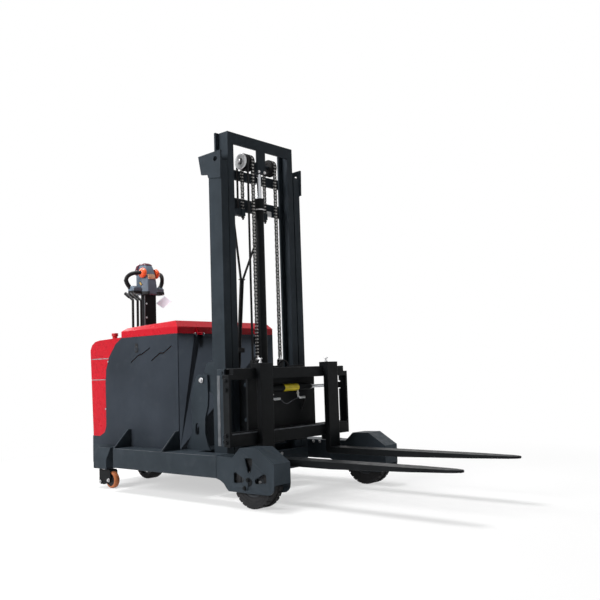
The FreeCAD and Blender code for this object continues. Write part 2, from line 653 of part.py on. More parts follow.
def inner_upright():
    x0 = MAST_REAR_X + 12 + MAST_GAP
    x1 = MAST_FRONT_X - 2
    y0 = -INNER_WEB_Y
    web = box(x0, x1, y0, y0 + 12, INNER_LOW_Z, INNER_TOP_Z)
    rear = box(x0, x0 + 12, y0 - 26, y0 + 46, INNER_LOW_Z, INNER_TOP_Z)
    front = box(x1 - 14, x1, y0, y0 + 46, INNER_LOW_Z, INNER_TOP_Z)
    roller = cyl_y((MAST_REAR_X + MAST_FRONT_X) / 2, INNER_LOW_Z + 60, y0 - 40, y0, 35)
    rear_low = box(x0, x0 + 12, y0 - 27, y0, INNER_LOW_Z + 20, INNER_LOW_Z + 100)
    return join([web, rear.cut(rear_low), front, roller])


def inner_crossbars():
    x1 = MAST_FRONT_X - 2
    half = INNER_WEB_Y - 46
    bar_low = INNER_TOP_Z - CROSSBAR_TALL
    top = box(x1 - 14, x1, -half, half, bar_low, INNER_TOP_Z)
    post = box(x1 - 14, x1, -34, 34, PULLEY_Z + 14, bar_low)
    head = box(PULLEY_X - 32, x1, -34, 34, PULLEY_Z - 50, PULLEY_Z + 14)
    axle = cyl_y(PULLEY_X, PULLEY_Z, -158, 118, 12)
    rear_x = MAST_REAR_X + 12 + MAST_GAP
    low = box(rear_x, rear_x + 12, -half, half, INNER_LOW_Z + 10, INNER_LOW_Z + 110)
    return Part.makeCompound([join([top, post, head, axle]), low])


def piston_rod():
    return cyl_z(PULLEY_X, 0, 400, PULLEY_Z - 50, PISTON_R)


def pulleys():
    solids = []
    for y in (-CHAIN_Y, CHAIN_Y):
        wheel = cyl_y(PULLEY_X, PULLEY_Z, y - 16, y + 16, PULLEY_R - CHAIN_THICK / 2)
        solids.append(wheel.cut(cyl_y(PULLEY_X, PULLEY_Z, y - 17, y + 17, 12)))
    hose = cyl_y(PULLEY_X, PULLEY_Z, HOSE_Y - 17, HOSE_Y + 17, 38)
    solids.append(hose.cut(cyl_y(PULLEY_X, PULLEY_Z, HOSE_Y - 18, HOSE_Y + 18, 12)))
    return Part.makeCompound(solids)


def half_ring(y0, y1, r0, r1):
    # The upper half of a many-sided ring whose inner flats touch the pulley
    turns = [math.pi * k / WRAP_STEPS for k in range(WRAP_STEPS + 1)]
    inner = r0 / math.cos(math.pi / WRAP_STEPS / 2)
    outline = [(PULLEY_X + r1 * math.cos(a), PULLEY_Z + r1 * math.sin(a)) for a in turns]
    outline += [(PULLEY_X + inner * math.cos(a), PULLEY_Z + inner * math.sin(a)) for a in turns[::-1]]
    return prism_xz(outline, y0, y1)


def chain_wraps():
    r0 = PULLEY_R - CHAIN_THICK / 2
    r1 = PULLEY_R + CHAIN_THICK / 2
    wraps = [half_ring(y - CHAIN_WIDE / 2, y + CHAIN_WIDE / 2, r0, r1) for y in (-CHAIN_Y, CHAIN_Y)]
    wraps.append(half_ring(HOSE_Y - HOSE_R, HOSE_Y + HOSE_R, 38, 38 + 2 * HOSE_R))
    return Part.makeCompound(wraps)


def chain_falls(side, z0):
    # side is +1 in front of the pulleys and -1 behind them
    x = PULLEY_X + side * PULLEY_R
    t = CHAIN_THICK / 2
    w = CHAIN_WIDE / 2
    falls = [box(x - t, x + t, y - w, y + w, z0, PULLEY_Z) for y in (-CHAIN_Y, CHAIN_Y)]
    falls.append(cyl_z(x, HOSE_Y, z0, PULLEY_Z, HOSE_R))
    return Part.makeCompound(falls)


def carriage_frame():
    wide = CARRIAGE_HALF_Y
    bar = CARRIAGE_BAR_X
    pieces = [box(0, 12, -wide, wide, BAR_LOW_Z + 32, BAR_TOP_Z - 7)]
    for z0, z1 in ((BAR_HIGH_LOW_Z, BAR_TOP_Z), (BAR_LOW_Z, BAR_LOW_TOP_Z)):
        pieces.append(box(bar, bar + BAR_THICK, -CARRIAGE_BAR_HALF_Y, CARRIAGE_BAR_HALF_Y, z0, z1))
    for z0 in (BAR_LOW_Z + 32, BAR_HIGH_LOW_Z + 5):
        pieces.append(box(12, bar, -wide + 40, wide - 40, z0, z0 + 30))
    inner_y = INNER_WEB_Y - 54
    chain_x = PULLEY_X + PULLEY_R
    foot_z = BAR_TOP_Z + 3
    for s in (-1, 1):
        low, high = BAR_LOW_Z + 47, BAR_TOP_Z - 7
        outline = [(0, low), (0, high), (-60, high), (-172, high - 30), (-172, low)]
        pieces.append(prism_xz(outline, s * inner_y, s * (inner_y - 18)))
        for z in (low + 45, high - 70):
            pieces.append(cyl_y((MAST_REAR_X + MAST_FRONT_X) / 2 + 6, z, s * (inner_y - 4),
                                s * (INNER_WEB_Y - 18), 24))
        anchor_y = s * CHAIN_Y
        pieces.append(box(chain_x - 9, chain_x + 12, anchor_y - 18, anchor_y + 18, foot_z, CARRIAGE_ANCHOR_Z))
        pieces.append(box(chain_x - 9, 0, anchor_y - 18, anchor_y + 18, BAR_HIGH_LOW_Z, foot_z))
    pieces.append(box(chain_x - 9, 0, -inner_y, inner_y, BAR_HIGH_LOW_Z + 5, BAR_HIGH_LOW_Z + 17))
    pieces.append(box(chain_x - 9, chain_x + 10, HOSE_Y - 12, HOSE_Y + 12, BAR_HIGH_LOW_Z + 10,
                      CARRIAGE_ANCHOR_Z))
    return join(pieces)


def shift_barrel():
    pieces = [cyl_y(SHIFT_CYL_X, SHIFT_CYL_Z, -130, 200, 20)]
    for y in (-125, 175):
        pieces.append(box(12, SHIFT_CYL_X, y, y + 20, SHIFT_CYL_Z - 14, SHIFT_CYL_Z + 14))
    return join(pieces).cut(cyl_y(SHIFT_CYL_X, SHIFT_CYL_Z, -110, 201, SHIFT_ROD_R + RUNNING))


def shift_frame():
    x1 = FORK_REAR_X
    x0 = x1 - BAR_THICK
    y0 = SHIFT_MIDDLE_Y - SHIFT_HALF_Y
    y1 = SHIFT_MIDDLE_Y + SHIFT_HALF_Y
    step = 35
    pieces = [box(x0, x1, y0 + step, y1 - step, BAR_HIGH_LOW_Z, BAR_TOP_Z)]
    pieces.append(box(x0, x1, y0, y1, BAR_HIGH_LOW_Z, BAR_TOP_Z - 30))
    pieces.append(box(x0, x1, y0, y1, BAR_LOW_Z, BAR_LOW_TOP_Z))
    for y in (y0, y1 - END_PLATE):
        pieces.append(box(x0 - 15, x1, y, y + END_PLATE, BAR_LOW_Z, BAR_TOP_Z - 30))
    # Sliding blocks with hooks over and under the carriage's bars
    back = CARRIAGE_BAR_X + BAR_THICK + SLIDE_GAP
    for y in (SHIFT_MIDDLE_Y - 130, SHIFT_MIDDLE_Y + 50):
        pieces.append(box(back, x0, y, y + 80, BAR_HIGH_LOW_Z, BAR_TOP_Z + SLIDE_GAP))
        pieces.append(box(back - 20, x0, y, y + 80, BAR_TOP_Z + SLIDE_GAP, BAR_TOP_Z + 12))
        pieces.append(box(back, x0, y, y + 80, BAR_LOW_Z - SLIDE_GAP, BAR_LOW_TOP_Z))
        pieces.append(box(back - 20, x0, y, y + 80, BAR_LOW_Z - 12, BAR_LOW_Z - SLIDE_GAP))
    pieces.append(box(SHIFT_CYL_X - 14, x0, y1 - END_PLATE, y1, SHIFT_CYL_Z - 18, SHIFT_CYL_Z + 18))
    return join(pieces)


def shift_rod():
    y1 = SHIFT_MIDDLE_Y + SHIFT_HALF_Y - END_PLATE
    return cyl_y(SHIFT_CYL_X, SHIFT_CYL_Z, 40, y1, SHIFT_ROD_R)


def fork(y):
    half = FORK_WIDTH / 2
    x0, x1 = FORK_REAR_X, FORK_FACE_X
    tip = x1 + FORK_LENGTH
    low = BLADE_TOP_Z - FORK_THICK
    side = prism_xz([(x0, SHANK_TOP_Z), (x0, low + 12), (x0 + 12, low), (x1 + 450, low),
                     (tip, BLADE_TOP_Z - FORK_TIP), (tip, BLADE_TOP_Z), (x1, BLADE_TOP_Z),
                     (x1, SHANK_TOP_Z)], y - half, y + half)
    plan = prism_xy([(x0 - 1, y - half - 1), (tip - 240, y - half), (tip - 50, y - half + 16),
                     (tip - 12, y - 18), (tip, y - 8), (tip, y + 8), (tip - 12, y + 18),
                     (tip - 50, y + half - 16), (tip - 240, y + half), (x0 - 1, y + half + 1)],
                    low - 1, SHANK_TOP_Z + 1)
    blade = side.common(plan)
    hook_top = box(x0 - BAR_THICK, x0, y - half, y + half, BAR_TOP_Z, SHANK_TOP_Z)
    hook_low = box(x0 - BAR_THICK, x0, y - half, y + half, BAR_LOW_Z - 26, BAR_LOW_Z)
    return join([blade, hook_top, hook_low])


def tilt_barrel():
    barrel = cyl_x(0, TILT_Z, TILT_EYE_X + 12, -290, 22)
    eye = cyl_y(TILT_EYE_X, TILT_Z, -20, 20, 17)
    whole = join([barrel, eye])
    whole = whole.cut(cyl_y(TILT_EYE_X, TILT_Z, -40, 40, TILT_PIN_R + RUNNING))
    return whole.cut(cyl_x(0, TILT_Z, -388, -289, TILT_ROD_R + RUNNING))


def tilt_rod():
    rod = cyl_x(0, TILT_Z, -366, TILT_ROD_EYE_X - 8, TILT_ROD_R)
    eye = cyl_y(TILT_ROD_EYE_X, TILT_Z, -20, 20, 18)
    return join([rod, eye]).cut(cyl_y(TILT_ROD_EYE_X, TILT_Z, -21, 21, TILT_PIN_R + 3))


def fixed_hoses():
    # Two hoses behind the mast that meet in a clip and go down together
    solids = []
    x = MAST_REAR_X - 14 - HOSE_R
    for y_top, y_mid in ((-132, -76), (146, -60)):
        a = Vector(x, y_top, TIE_ANCHOR_TOP_Z)
        b = Vector(x, y_mid, 1228)
        c = Vector(x, y_mid - 76, 380)
        leg = b - a
        solids.append(Part.makeCylinder(HOSE_R, leg.Length, a, leg))
        down = c - b
        solids.append(Part.makeCylinder(HOSE_R, down.Length, b, down))
    return join([join(solids[:2]), join(solids[2:])])


def build():
    os.makedirs("parts", exist_ok=True)
    save_pair("leg_beam", leg_beam())
    save_pair("wheel_housing", wheel_housing())
    save_pair("front_hub", front_hub())
    save_pair("front_tyre", front_tyre())
    save("base_frame", base_frame())
    save_pair("side_panel", side_panel())
    save("front_panel", front_panel())
    save("rear_shell", rear_shell())
    save("hood_lid", hood_lid())
    save("battery", battery())
    save("lever_bank", lever_bank())
    save("stop_button", stop_button())
    save("caster_boxes", caster_boxes())
    save_pair("caster_fork", caster_fork())
    save_pair("caster_wheel", caster_wheel())
    save("drive_unit", drive_unit())
    save("drive_wheel", drive_wheel())
    save("tiller_column", tiller_column())
    save("tiller_head", tiller_head())
    save_pair("outer_channel", outer_channel())
    save("outer_ties", outer_ties())
    save("lift_cylinder", lift_cylinder())
    save_pair("inner_upright", inner_upright())
    save("inner_crossbars", inner_crossbars())
    save("piston_rod", piston_rod())
    save("pulleys", pulleys())
    save("chain_wraps", chain_wraps())
    save("chains_front", chain_falls(1, CARRIAGE_ANCHOR_Z))
    save("chains_rear", chain_falls(-1, TIE_ANCHOR_TOP_Z))
    save("carriage_frame", carriage_frame())
    save("shift_barrel", shift_barrel())
    save("shift_frame", shift_frame())
    save("shift_rod", shift_rod())
    save("fork_right", fork(-FORK_Y))
    save("fork_left", fork(FORK_Y))
    save("tilt_barrel", tilt_barrel())
    save("tilt_rod", tilt_rod())
    save("fixed_hoses", fixed_hoses())


build()
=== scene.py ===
import bmesh
import bpy
import json
import math
from mathutils import Matrix, Vector

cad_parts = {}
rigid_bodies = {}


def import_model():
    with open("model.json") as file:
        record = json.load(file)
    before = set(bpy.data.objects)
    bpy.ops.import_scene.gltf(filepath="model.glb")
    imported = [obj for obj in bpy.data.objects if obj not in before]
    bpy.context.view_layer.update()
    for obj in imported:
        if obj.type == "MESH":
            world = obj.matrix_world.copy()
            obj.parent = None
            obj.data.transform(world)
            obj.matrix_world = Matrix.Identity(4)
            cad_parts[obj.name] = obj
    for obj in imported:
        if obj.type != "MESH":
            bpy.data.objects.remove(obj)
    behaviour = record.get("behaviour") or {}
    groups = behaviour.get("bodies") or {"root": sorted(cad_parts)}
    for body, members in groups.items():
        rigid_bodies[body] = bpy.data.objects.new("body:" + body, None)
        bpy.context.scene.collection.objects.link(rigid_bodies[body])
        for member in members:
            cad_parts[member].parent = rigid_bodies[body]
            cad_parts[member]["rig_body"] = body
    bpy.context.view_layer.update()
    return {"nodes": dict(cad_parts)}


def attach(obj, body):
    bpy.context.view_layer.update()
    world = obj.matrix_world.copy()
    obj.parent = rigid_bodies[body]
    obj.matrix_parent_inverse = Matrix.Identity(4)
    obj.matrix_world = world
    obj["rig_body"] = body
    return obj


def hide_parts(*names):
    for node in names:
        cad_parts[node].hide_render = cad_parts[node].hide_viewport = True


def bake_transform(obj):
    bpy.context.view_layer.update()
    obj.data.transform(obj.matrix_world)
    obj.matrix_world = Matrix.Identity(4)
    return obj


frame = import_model()

# Lengths are written in millimetres and scaled once, when a piece is made
MM = 0.001
PIVOT_X, PIVOT_Z = -280, 640
PULLEY_X, PULLEY_Z = -133, 1912
CHAIN_R = 45
CHAIN_Y = 95
PITCH = 19.05
HOSE_Y = -135
HOSE_R = 6.5
AXLE_X, AXLE_Z = 256, 135
LEG_OUT_Y = 528
LEG_TOP_Z = 250
TYRE_Y = 468
BODY_Y = 400
EAR_Y = 337
UPRIGHT_Y = 232
TILT_PIN_Y, TILT_PIN_Z = 38, 330
HINGE_X, HINGE_Z = -422, 914
HINGE_YS = (-260, 220)
LOCK_X, LOCK_Z = -818, 840
LEVER_X, LEVER_Z = -998, 948
LEVER_YS = (-290, -253, -225)
STOP_X, STOP_Y, STOP_Z = -1167, -310, 911
POST_LOW_Z = 907
HEAD_LOW_Z = 1215
DRIVE_R = 115
DRIVE_X, DRIVE_Y = -1152, -52
CASTER_X, CASTER_Y, CASTER_Z = -1004, 450, 50
SWIVEL_X = -1062
SHIFT_X, SHIFT_Z = 42, 583
FORK_X, FORK_Y = 112, 281
TIE_ANCHOR_Z = 1600
CARRIAGE_ANCHOR_Z = 745
SIDES = (("right", -1), ("left", 1))


# Shading helpers

def node_tree(name):
    m = bpy.data.materials.new(name)
    m.use_nodes = True
    t = m.node_tree
    return m, t, t.nodes["Principled BSDF"]


def put(t, kind, **values):
    n = t.nodes.new(kind)
    for k, v in values.items():
        if k in n.inputs:
            n.inputs[k].default_value = v
        else:
            setattr(n, k, v)
    return n


def noise(t, coord, scale, detail=4.0):
    n = put(t, "ShaderNodeTexNoise", Scale=scale, Detail=detail)
    t.links.new(coord, n.inputs["Vector"])
    return n.outputs["Fac"]


def ramp(t, fac, stops):
    n = put(t, "ShaderNodeValToRGB")
    e = n.color_ramp.elements
    while len(e) < len(stops):
        e.new(0.5)
    for i, (pos, c) in enumerate(stops):
        e[i].position = pos
        e[i].color = (c[0], c[1], c[2], 1) if not isinstance(c, float) else (c, c, c, 1)
    t.links.new(fac, n.inputs["Fac"])
    return n.outputs["Color"]


def bump(t, bsdf, height, strength):
    n = put(t, "ShaderNodeBump", Strength=strength, Distance=MM)
    t.links.new(height, n.inputs["Height"])
    t.links.new(n.outputs["Normal"], bsdf.inputs["Normal"])


def finish_mat(name, base, rough, metal=0.0, vary=0.12, grain=220.0, grain_bump=0.05, patch=5.0,
               spread=0.08, dust=None, spec=0.5):
    # base changes by vary and rough by spread from patch to patch; dust is a paler colour in
    # spots; grain and grain_bump are the scale and strength of the finest bumps
    m, t, b = node_tree(name)
    co = put(t, "ShaderNodeTexCoord").outputs["Object"]
    low = [c * (1 - vary) for c in base]
    high = [min(1.0, c * (1 + vary)) for c in base]
    colour = ramp(t, noise(t, co, patch, 6.0), [(0.35, low), (0.65, high)])
    if dust:
        mask = ramp(t, noise(t, co, 14.0, 8.0), [(0.55, 0.0), (0.75, 0.35)])
        mix = put(t, "ShaderNodeMix", data_type="RGBA")
        t.links.new(mask, mix.inputs[0])
        t.links.new(colour, mix.inputs[6])
        mix.inputs[7].default_value = (*dust, 1)
        colour = mix.outputs[2]
    t.links.new(colour, b.inputs["Base Color"])
    r = ramp(t, noise(t, co, patch * 7, 5.0),
             [(0.3, max(0.02, rough - spread)), (0.7, min(1.0, rough + spread))])
    t.links.new(r, b.inputs["Roughness"])
    b.inputs["Metallic"].default_value = metal
    b.inputs["Specular IOR Level"].default_value = spec
    bump(t, b, noise(t, co, grain, 3.0), grain_bump)
    return m


BLUE = (0.024, 0.031, 0.038)
BLUE_DUST = (0.042, 0.050, 0.058)
MATS = {
    "paint": finish_mat("dark_paint", BLUE, 0.44, vary=0.14, dust=BLUE_DUST, spec=0.06),
    "panel": finish_mat("panel_paint", (0.028, 0.034, 0.043), 0.52, vary=0.18, patch=2.5,
                        dust=BLUE_DUST, spec=0.04),
    "red": finish_mat("red_paint", (0.40, 0.0020, 0.011), 0.30, vary=0.05, patch=2.0, grain=300.0,
                      grain_bump=0.02, spec=0.16),
    "black": finish_mat("black_paint", (0.0065, 0.0075, 0.0085), 0.42, vary=0.25,
                        dust=(0.014, 0.015, 0.017), spec=0.07),
    "tyre": finish_mat("tyre_rubber", (0.014, 0.014, 0.015), 0.75, vary=0.3, grain=500.0,
                       grain_bump=0.18, dust=(0.045, 0.043, 0.040), spec=0.15),
    "rim": finish_mat("rim_paint", (0.022, 0.025, 0.029), 0.42, spec=0.20),
    "tread": finish_mat("caster_tread", (0.42, 0.13, 0.045), 0.5, vary=0.18, grain=400.0, spec=0.3),
    "steel": finish_mat("zinc_steel", (0.52, 0.52, 0.53), 0.32, metal=1.0, vary=0.14, patch=30.0,
                        grain_bump=0.08),
    "chrome": finish_mat("polished_rod", (0.42, 0.43, 0.45), 0.20, metal=1.0, vary=0.05,
                         grain_bump=0.01, spread=0.03, patch=1.0),
    "chain": finish_mat("chain_steel", (0.010, 0.010, 0.011), 0.42, vary=0.35, patch=60.0,
                        spread=0.12, spec=0.15),
    "chain_light": finish_mat("chain_roller", (0.34, 0.335, 0.325), 0.40, metal=0.85, vary=0.25,
                              patch=60.0, spread=0.12),
    "hose": finish_mat("hose_rubber", (0.006, 0.006, 0.007), 0.5, vary=0.2, grain=700.0,
                       grain_bump=0.12, spec=0.15),
    "grey": finish_mat("handle_plastic", (0.105, 0.140, 0.185), 0.46, vary=0.07, grain=900.0,
                       grain_bump=0.10, spec=0.35),
    "plastic": finish_mat("black_plastic", (0.006, 0.006, 0.007), 0.44, vary=0.15, grain=900.0,
                          grain_bump=0.10, spec=0.18),
    "orange": finish_mat("orange_plastic", (0.78, 0.095, 0.022), 0.36, vary=0.06, grain=800.0,
                         spec=0.4),
    "beige": finish_mat("beige_panel", (0.86, 0.56, 0.34), 0.5, vary=0.08, grain=800.0),
    "maroon": finish_mat("belly_button", (0.060, 0.006, 0.016), 0.42, vary=0.10, grain=700.0,
                         spec=0.3),
    "stop": finish_mat("stop_knob", (0.40, 0.006, 0.012), 0.28, vary=0.06, spec=0.4),
    "yellow": finish_mat("yellow_label", (0.70, 0.56, 0.02), 0.45, vary=0.10, patch=30.0),
    "amber": finish_mat("amber_button", (0.80, 0.50, 0.14), 0.40, vary=0.06, patch=30.0),
    "white": finish_mat("white_fitting", (0.72, 0.73, 0.74), 0.35, vary=0.06, patch=30.0),
    "card": finish_mat("painted_glow_card", (0.84, 0.85, 0.93), 0.45, vary=0.04, patch=20.0, spec=0.2),
    # Painted highlight: pale lines for the lit edges of the shell's grooves
    "bright": finish_mat("painted_groove_highlight", (0.24, 0.25, 0.265), 0.36, vary=0.2, patch=25.0, spec=0.3),
    # Pale grey for the carriage's end strip and cable, and painted highlights along lit edges
    "pale_and_highlight": finish_mat("pale_and_painted_highlight", (0.085, 0.092, 0.102), 0.40, vary=0.25, patch=25.0, spec=0.2),
    "battery": finish_mat("battery_case", (0.02, 0.02, 0.022), 0.55, vary=0.15),
}
# Painted glow: the thin card emits light of its own, standing in for daylight shining through it
CARD_BSDF = MATS["card"].node_tree.nodes["Principled BSDF"]
CARD_BSDF.inputs["Emission Color"].default_value = (0.80, 0.84, 0.95, 1)
CARD_BSDF.inputs["Emission Strength"].default_value = 0.35


# Mesh helpers: every one adds to a bmesh in millimetres

def absorb(bm, piece, matrix=None):
    if matrix is not None:
        bmesh.ops.transform(piece, matrix=matrix, verts=piece.verts)
    me = bpy.data.meshes.new("absorb")
    piece.to_mesh(me)
    piece.free()
    bm.from_mesh(me)
    bpy.data.meshes.remove(me)


def soften(piece, width, segments=2, angle=30):
    if width <= 0:
        return
    limit = math.radians(angle)
    edges = [e for e in piece.edges if len(e.link_faces) == 2 and e.calc_face_angle(0) > limit]
    bmesh.ops.bevel(piece, geom=edges, offset=width, segments=segments, profile=0.6,
                    affect="EDGES", clamp_overlap=True)


def block(bm, lo, hi, bevel=1.5, segments=2, matrix=None):
    piece = bmesh.new()
    bmesh.ops.create_cube(piece, size=1)
    size = Vector(hi) - Vector(lo)
    mid = (Vector(hi) + Vector(lo)) / 2
    bmesh.ops.scale(piece, vec=size, verts=piece.verts)
    bmesh.ops.translate(piece, vec=mid, verts=piece.verts)
    soften(piece, bevel, segments)
    absorb(bm, piece, matrix)


AXES = {"x": (1, 2, 0), "y": (0, 2, 1), "z": (0, 1, 2)}


def raise_face(piece, face, way):
    top = bmesh.ops.extrude_face_region(piece, geom=[face])
    moved = [g for g in top["geom"] if isinstance(g, bmesh.types.BMVert)]
    bmesh.ops.translate(piece, vec=way, verts=moved)
    bmesh.ops.recalc_face_normals(piece, faces=piece.faces)


def prism(bm, outline, axis, a, b, bevel=1.5, segments=2, matrix=None):
    # outline holds the two coordinates other than the axis, in X, Y, Z order
    piece = bmesh.new()
    i, j, k = AXES[axis]
    verts = []
    for p in outline:
        v = [0, 0, 0]
        v[i], v[j], v[k] = p[0], p[1], a
        verts.append(piece.verts.new(v))
    way = [0, 0, 0]
    way[k] = b - a
    raise_face(piece, piece.faces.new(verts), way)
    soften(piece, bevel, segments)
    absorb(bm, piece, matrix)


def loft(bm, rings, bevel=2.0, segments=3):
    # Skin over closed rings of the same number of points, capped at both ends
    piece = bmesh.new()
    rows = [[piece.verts.new(p) for p in ring] for ring in rings]
    for low, high in zip(rows, rows[1:]):
        for i in range(len(low)):
            n = (i + 1) % len(low)
            piece.faces.new((low[i], low[n], high[n], high[i]))
    piece.faces.new(rows[0][::-1])
    piece.faces.new(rows[-1])
    bmesh.ops.recalc_face_normals(piece, faces=piece.faces)
    soften(piece, bevel, segments, 18)
    absorb(bm, piece)


def turn_to(axis, centre):
    # Matrix that takes local Z to the axis and the origin to centre
    way = Vector(axis).normalized()
    return Matrix.Translation(Vector(centre)) @ way.to_track_quat("Z", "Y").to_matrix().to_4x4()


def round_point(radius, s, steps):
    turn = 2 * math.pi * s / steps
    return radius * math.cos(turn), radius * math.sin(turn)


def lathe(bm, profile, centre, axis, steps=32, closed=True):
    # profile is a list of (radius, height) along the axis; closed joins its last point to its first
    piece = bmesh.new()
    rings = []
    for r, h in profile:
        count = steps if r > 0 else 1
        rings.append([piece.verts.new((*round_point(r, s, steps), h)) for s in range(count)])
    pairs = list(zip(rings, rings[1:]))
    if closed:
        pairs.append((rings[-1], rings[0]))
    for low, high in pairs:
        for s in range(steps):
            n = (s + 1) % steps
            corners = (low[s % len(low)], low[n % len(low)],
                       high[n % len(high)], high[s % len(high)])
            unique = list(dict.fromkeys(corners))
            if len(unique) > 2:
                piece.faces.new(unique)
    bmesh.ops.recalc_face_normals(piece, faces=piece.faces)
    absorb(bm, piece, turn_to(axis, centre))


def disc(bm, centre, axis, radius, length, bevel=1.5, steps=32):
    # A turned piece from centre along axis, with rounded rims
    e = min(bevel, length / 3)
    profile = [(0, 0), (radius - e, 0), (radius - e * 0.3, e * 0.3), (radius, e),
               (radius, length - e), (radius - e * 0.3, length - e * 0.3), (radius - e, length),
               (0, length)]
    lathe(bm, profile, centre, axis, steps, False)


def corners_cut(points):
    # One round of cutting each corner of a line at a quarter of its two sides
    out = [points[0]]
    for a, b in zip(points, points[1:]):
        out += [a * 0.75 + b * 0.25, a * 0.25 + b * 0.75]
    return out + [points[-1]]


def tube(bm, points, radius, steps=12, smooth=0):
    pts = [Vector(p) for p in points]
    for _ in range(smooth):
        pts = corners_cut(pts)
    piece = bmesh.new()
    normal = (pts[1] - pts[0]).normalized().orthogonal().normalized()
    rings = []
    for i, p in enumerate(pts):
        way = (pts[min(i + 1, len(pts) - 1)] - pts[max(i - 1, 0)]).normalized()
        normal = (normal - way * normal.dot(way)).normalized()
        side = way.cross(normal)
        ring = []
        for s in range(steps):
            out, across = round_point(radius, s, steps)
            ring.append(piece.verts.new(p + normal * out + side * across))
        rings.append(ring)
    for low, high in zip(rings, rings[1:]):
        for s in range(steps):
            n = (s + 1) % steps
            piece.faces.new((low[s], low[n], high[n], high[s]))
    piece.faces.new(rings[0][::-1])
    piece.faces.new(rings[-1])
    bmesh.ops.recalc_face_normals(piece, faces=piece.faces)
    absorb(bm, piece)


def bolt(bm, centre, axis, size=8.0, washer=True):
    # Hexagon head on a washer; size is the thread's diameter
    if washer:
        disc(bm, centre, axis, size * 1.1, size * 0.18, 0.4, 24)
    piece = bmesh.new()
    verts = [piece.verts.new((*round_point(size * 0.87, k, 6), size * 0.15)) for k in range(6)]
    raise_face(piece, piece.faces.new(verts), (0, 0, size * 0.65))
    soften(piece, size * 0.08, 1)
    absorb(bm, piece, turn_to(axis, centre))


def socket_screw(bm, centre, axis, size=8.0):
    r = size * 0.75
    lathe(bm, [(0, size * 0.25), (r * 0.5, size * 0.25), (r * 0.5, size * 0.6),
               (r * 0.9, size * 0.6), (r, size * 0.5), (r, 0), (0, 0)], centre, axis, 18, False)


def make(name, bm, mat, body, sharp=32):
    bmesh.ops.scale(bm, vec=(MM, MM, MM), verts=bm.verts)
    me = bpy.data.meshes.new(name)
    bm.to_mesh(me)
    bm.free()
    me.materials.append(MATS[mat])
    me.polygons.foreach_set("use_smooth", [True] * len(me.polygons))
    me.set_sharp_from_angle(angle=math.radians(sharp))
    o = bpy.data.objects.new(name, me)
    bpy.context.scene.collection.objects.link(o)
    if body:
        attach(o, body)
    return o


def add(name, bm, mat, body, stands_for=None, sharp=32):
    o = make(name, bm, mat, body, sharp)
    if stands_for:
        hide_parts(stands_for)
    return o


def dress(node, mat, width=1.5, segments=2, angle=30):
    # A copy of a CAD node with softened edges and its own finish, shown in the node's place
    source = frame["nodes"][node]
    bm = bmesh.new()
    bm.from_mesh(source.data)
    bmesh.ops.remove_doubles(bm, verts=bm.verts, dist=2e-5)
    bmesh.ops.dissolve_limit(bm, angle_limit=math.radians(0.8), verts=bm.verts, edges=bm.edges)
    bmesh.ops.scale(bm, vec=(1 / MM, 1 / MM, 1 / MM), verts=bm.verts)
    soften(bm, width, segments, angle)
    o = make(node + "_skin", bm, mat, source["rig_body"])
    weighted = o.modifiers.new("normals", "WEIGHTED_NORMAL")
    weighted.keep_sharp = True
    weighted.weight = 100
    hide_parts(node)


# The CAD nodes whose own shape is kept, with softened edges

def dress_all():
    for side, _ in SIDES:
        dress("leg_beam_" + side, "paint", 3)
        dress("wheel_housing_" + side, "paint", 1.5)
        dress("side_panel_" + side, "panel", 1)
        dress("outer_channel_" + side, "paint", 3)
        dress("inner_upright_" + side, "paint", 3)
        dress("fork_" + side, "black", 3)
        dress("front_hub_" + side, "rim", 1)
        dress("front_tyre_" + side, "tyre", 2)
        dress("caster_fork_" + side, "black", 0.8)
    dress("base_frame", "paint", 1.2)
    dress("front_panel", "panel", 1)
    dress("rear_shell", "red", 1.5, 2, 20)
    dress("hood_lid", "red", 6, 4, 20)
    dress("battery", "battery", 6, 3)
    dress("lever_bank", "plastic", 1.5)
    dress("stop_button", "stop", 3, 3)
    dress("caster_boxes", "paint", 2)
    dress("drive_unit", "black", 1.5)
    dress("tiller_column", "black", 5, 3)
    dress("outer_ties", "paint", 2)
    dress("lift_cylinder", "black", 1.5)
    dress("inner_crossbars", "paint", 2)
    dress("piston_rod", "chrome", 0.5)
    dress("carriage_frame", "black", 1.5)
    dress("shift_barrel", "black", 1.5)
    dress("shift_frame", "black", 2)
    dress("shift_rod", "chrome", 0.5)
    dress("tilt_barrel", "black", 1.5)
    dress("tilt_rod", "chrome", 0.8)
    dress("fixed_hoses", "hose", 0.5)


dress_all()


# Chains, hoses and pulleys of the mast

def chain_link(plates, rollers, y, spot, turn, odd):
    # One pitch of roller chain at spot (x, z); turn is its angle from upright
    place = Matrix.Translation((spot[0], y, spot[1])) @ Matrix.Rotation(turn, 4, "Y")
    half = PITCH / 2
    side = [(-5.0, -half - 2), (-3.2, -half - 5), (3.2, -half - 5), (5.0, -half - 2), (3.6, 0),
            (5.0, half + 2), (3.2, half + 5), (-3.2, half + 5), (-5.0, half + 2), (-3.6, 0)]
    inner = 9.6 if odd else 7.4
    for s in (-1, 1):
        prism(plates, side, "y", s * inner, s * (inner + 2.1), 0, matrix=place)
    lying = Matrix.Rotation(math.pi / 2, 4, "X")
    for bm, height, radius, length in ((rollers, -half, 4.6, 23.5), (plates, 0.0, 3.8, 15.0)):
        pin = bmesh.new()
        bmesh.ops.create_cone(pin, cap_ends=True, segments=10, radius1=radius, radius2=radius,
                              depth=length)
        bmesh.ops.transform(pin, verts=pin.verts, matrix=Matrix.Translation((0, 0, height)) @ lying)
        absorb(bm, pin, place)


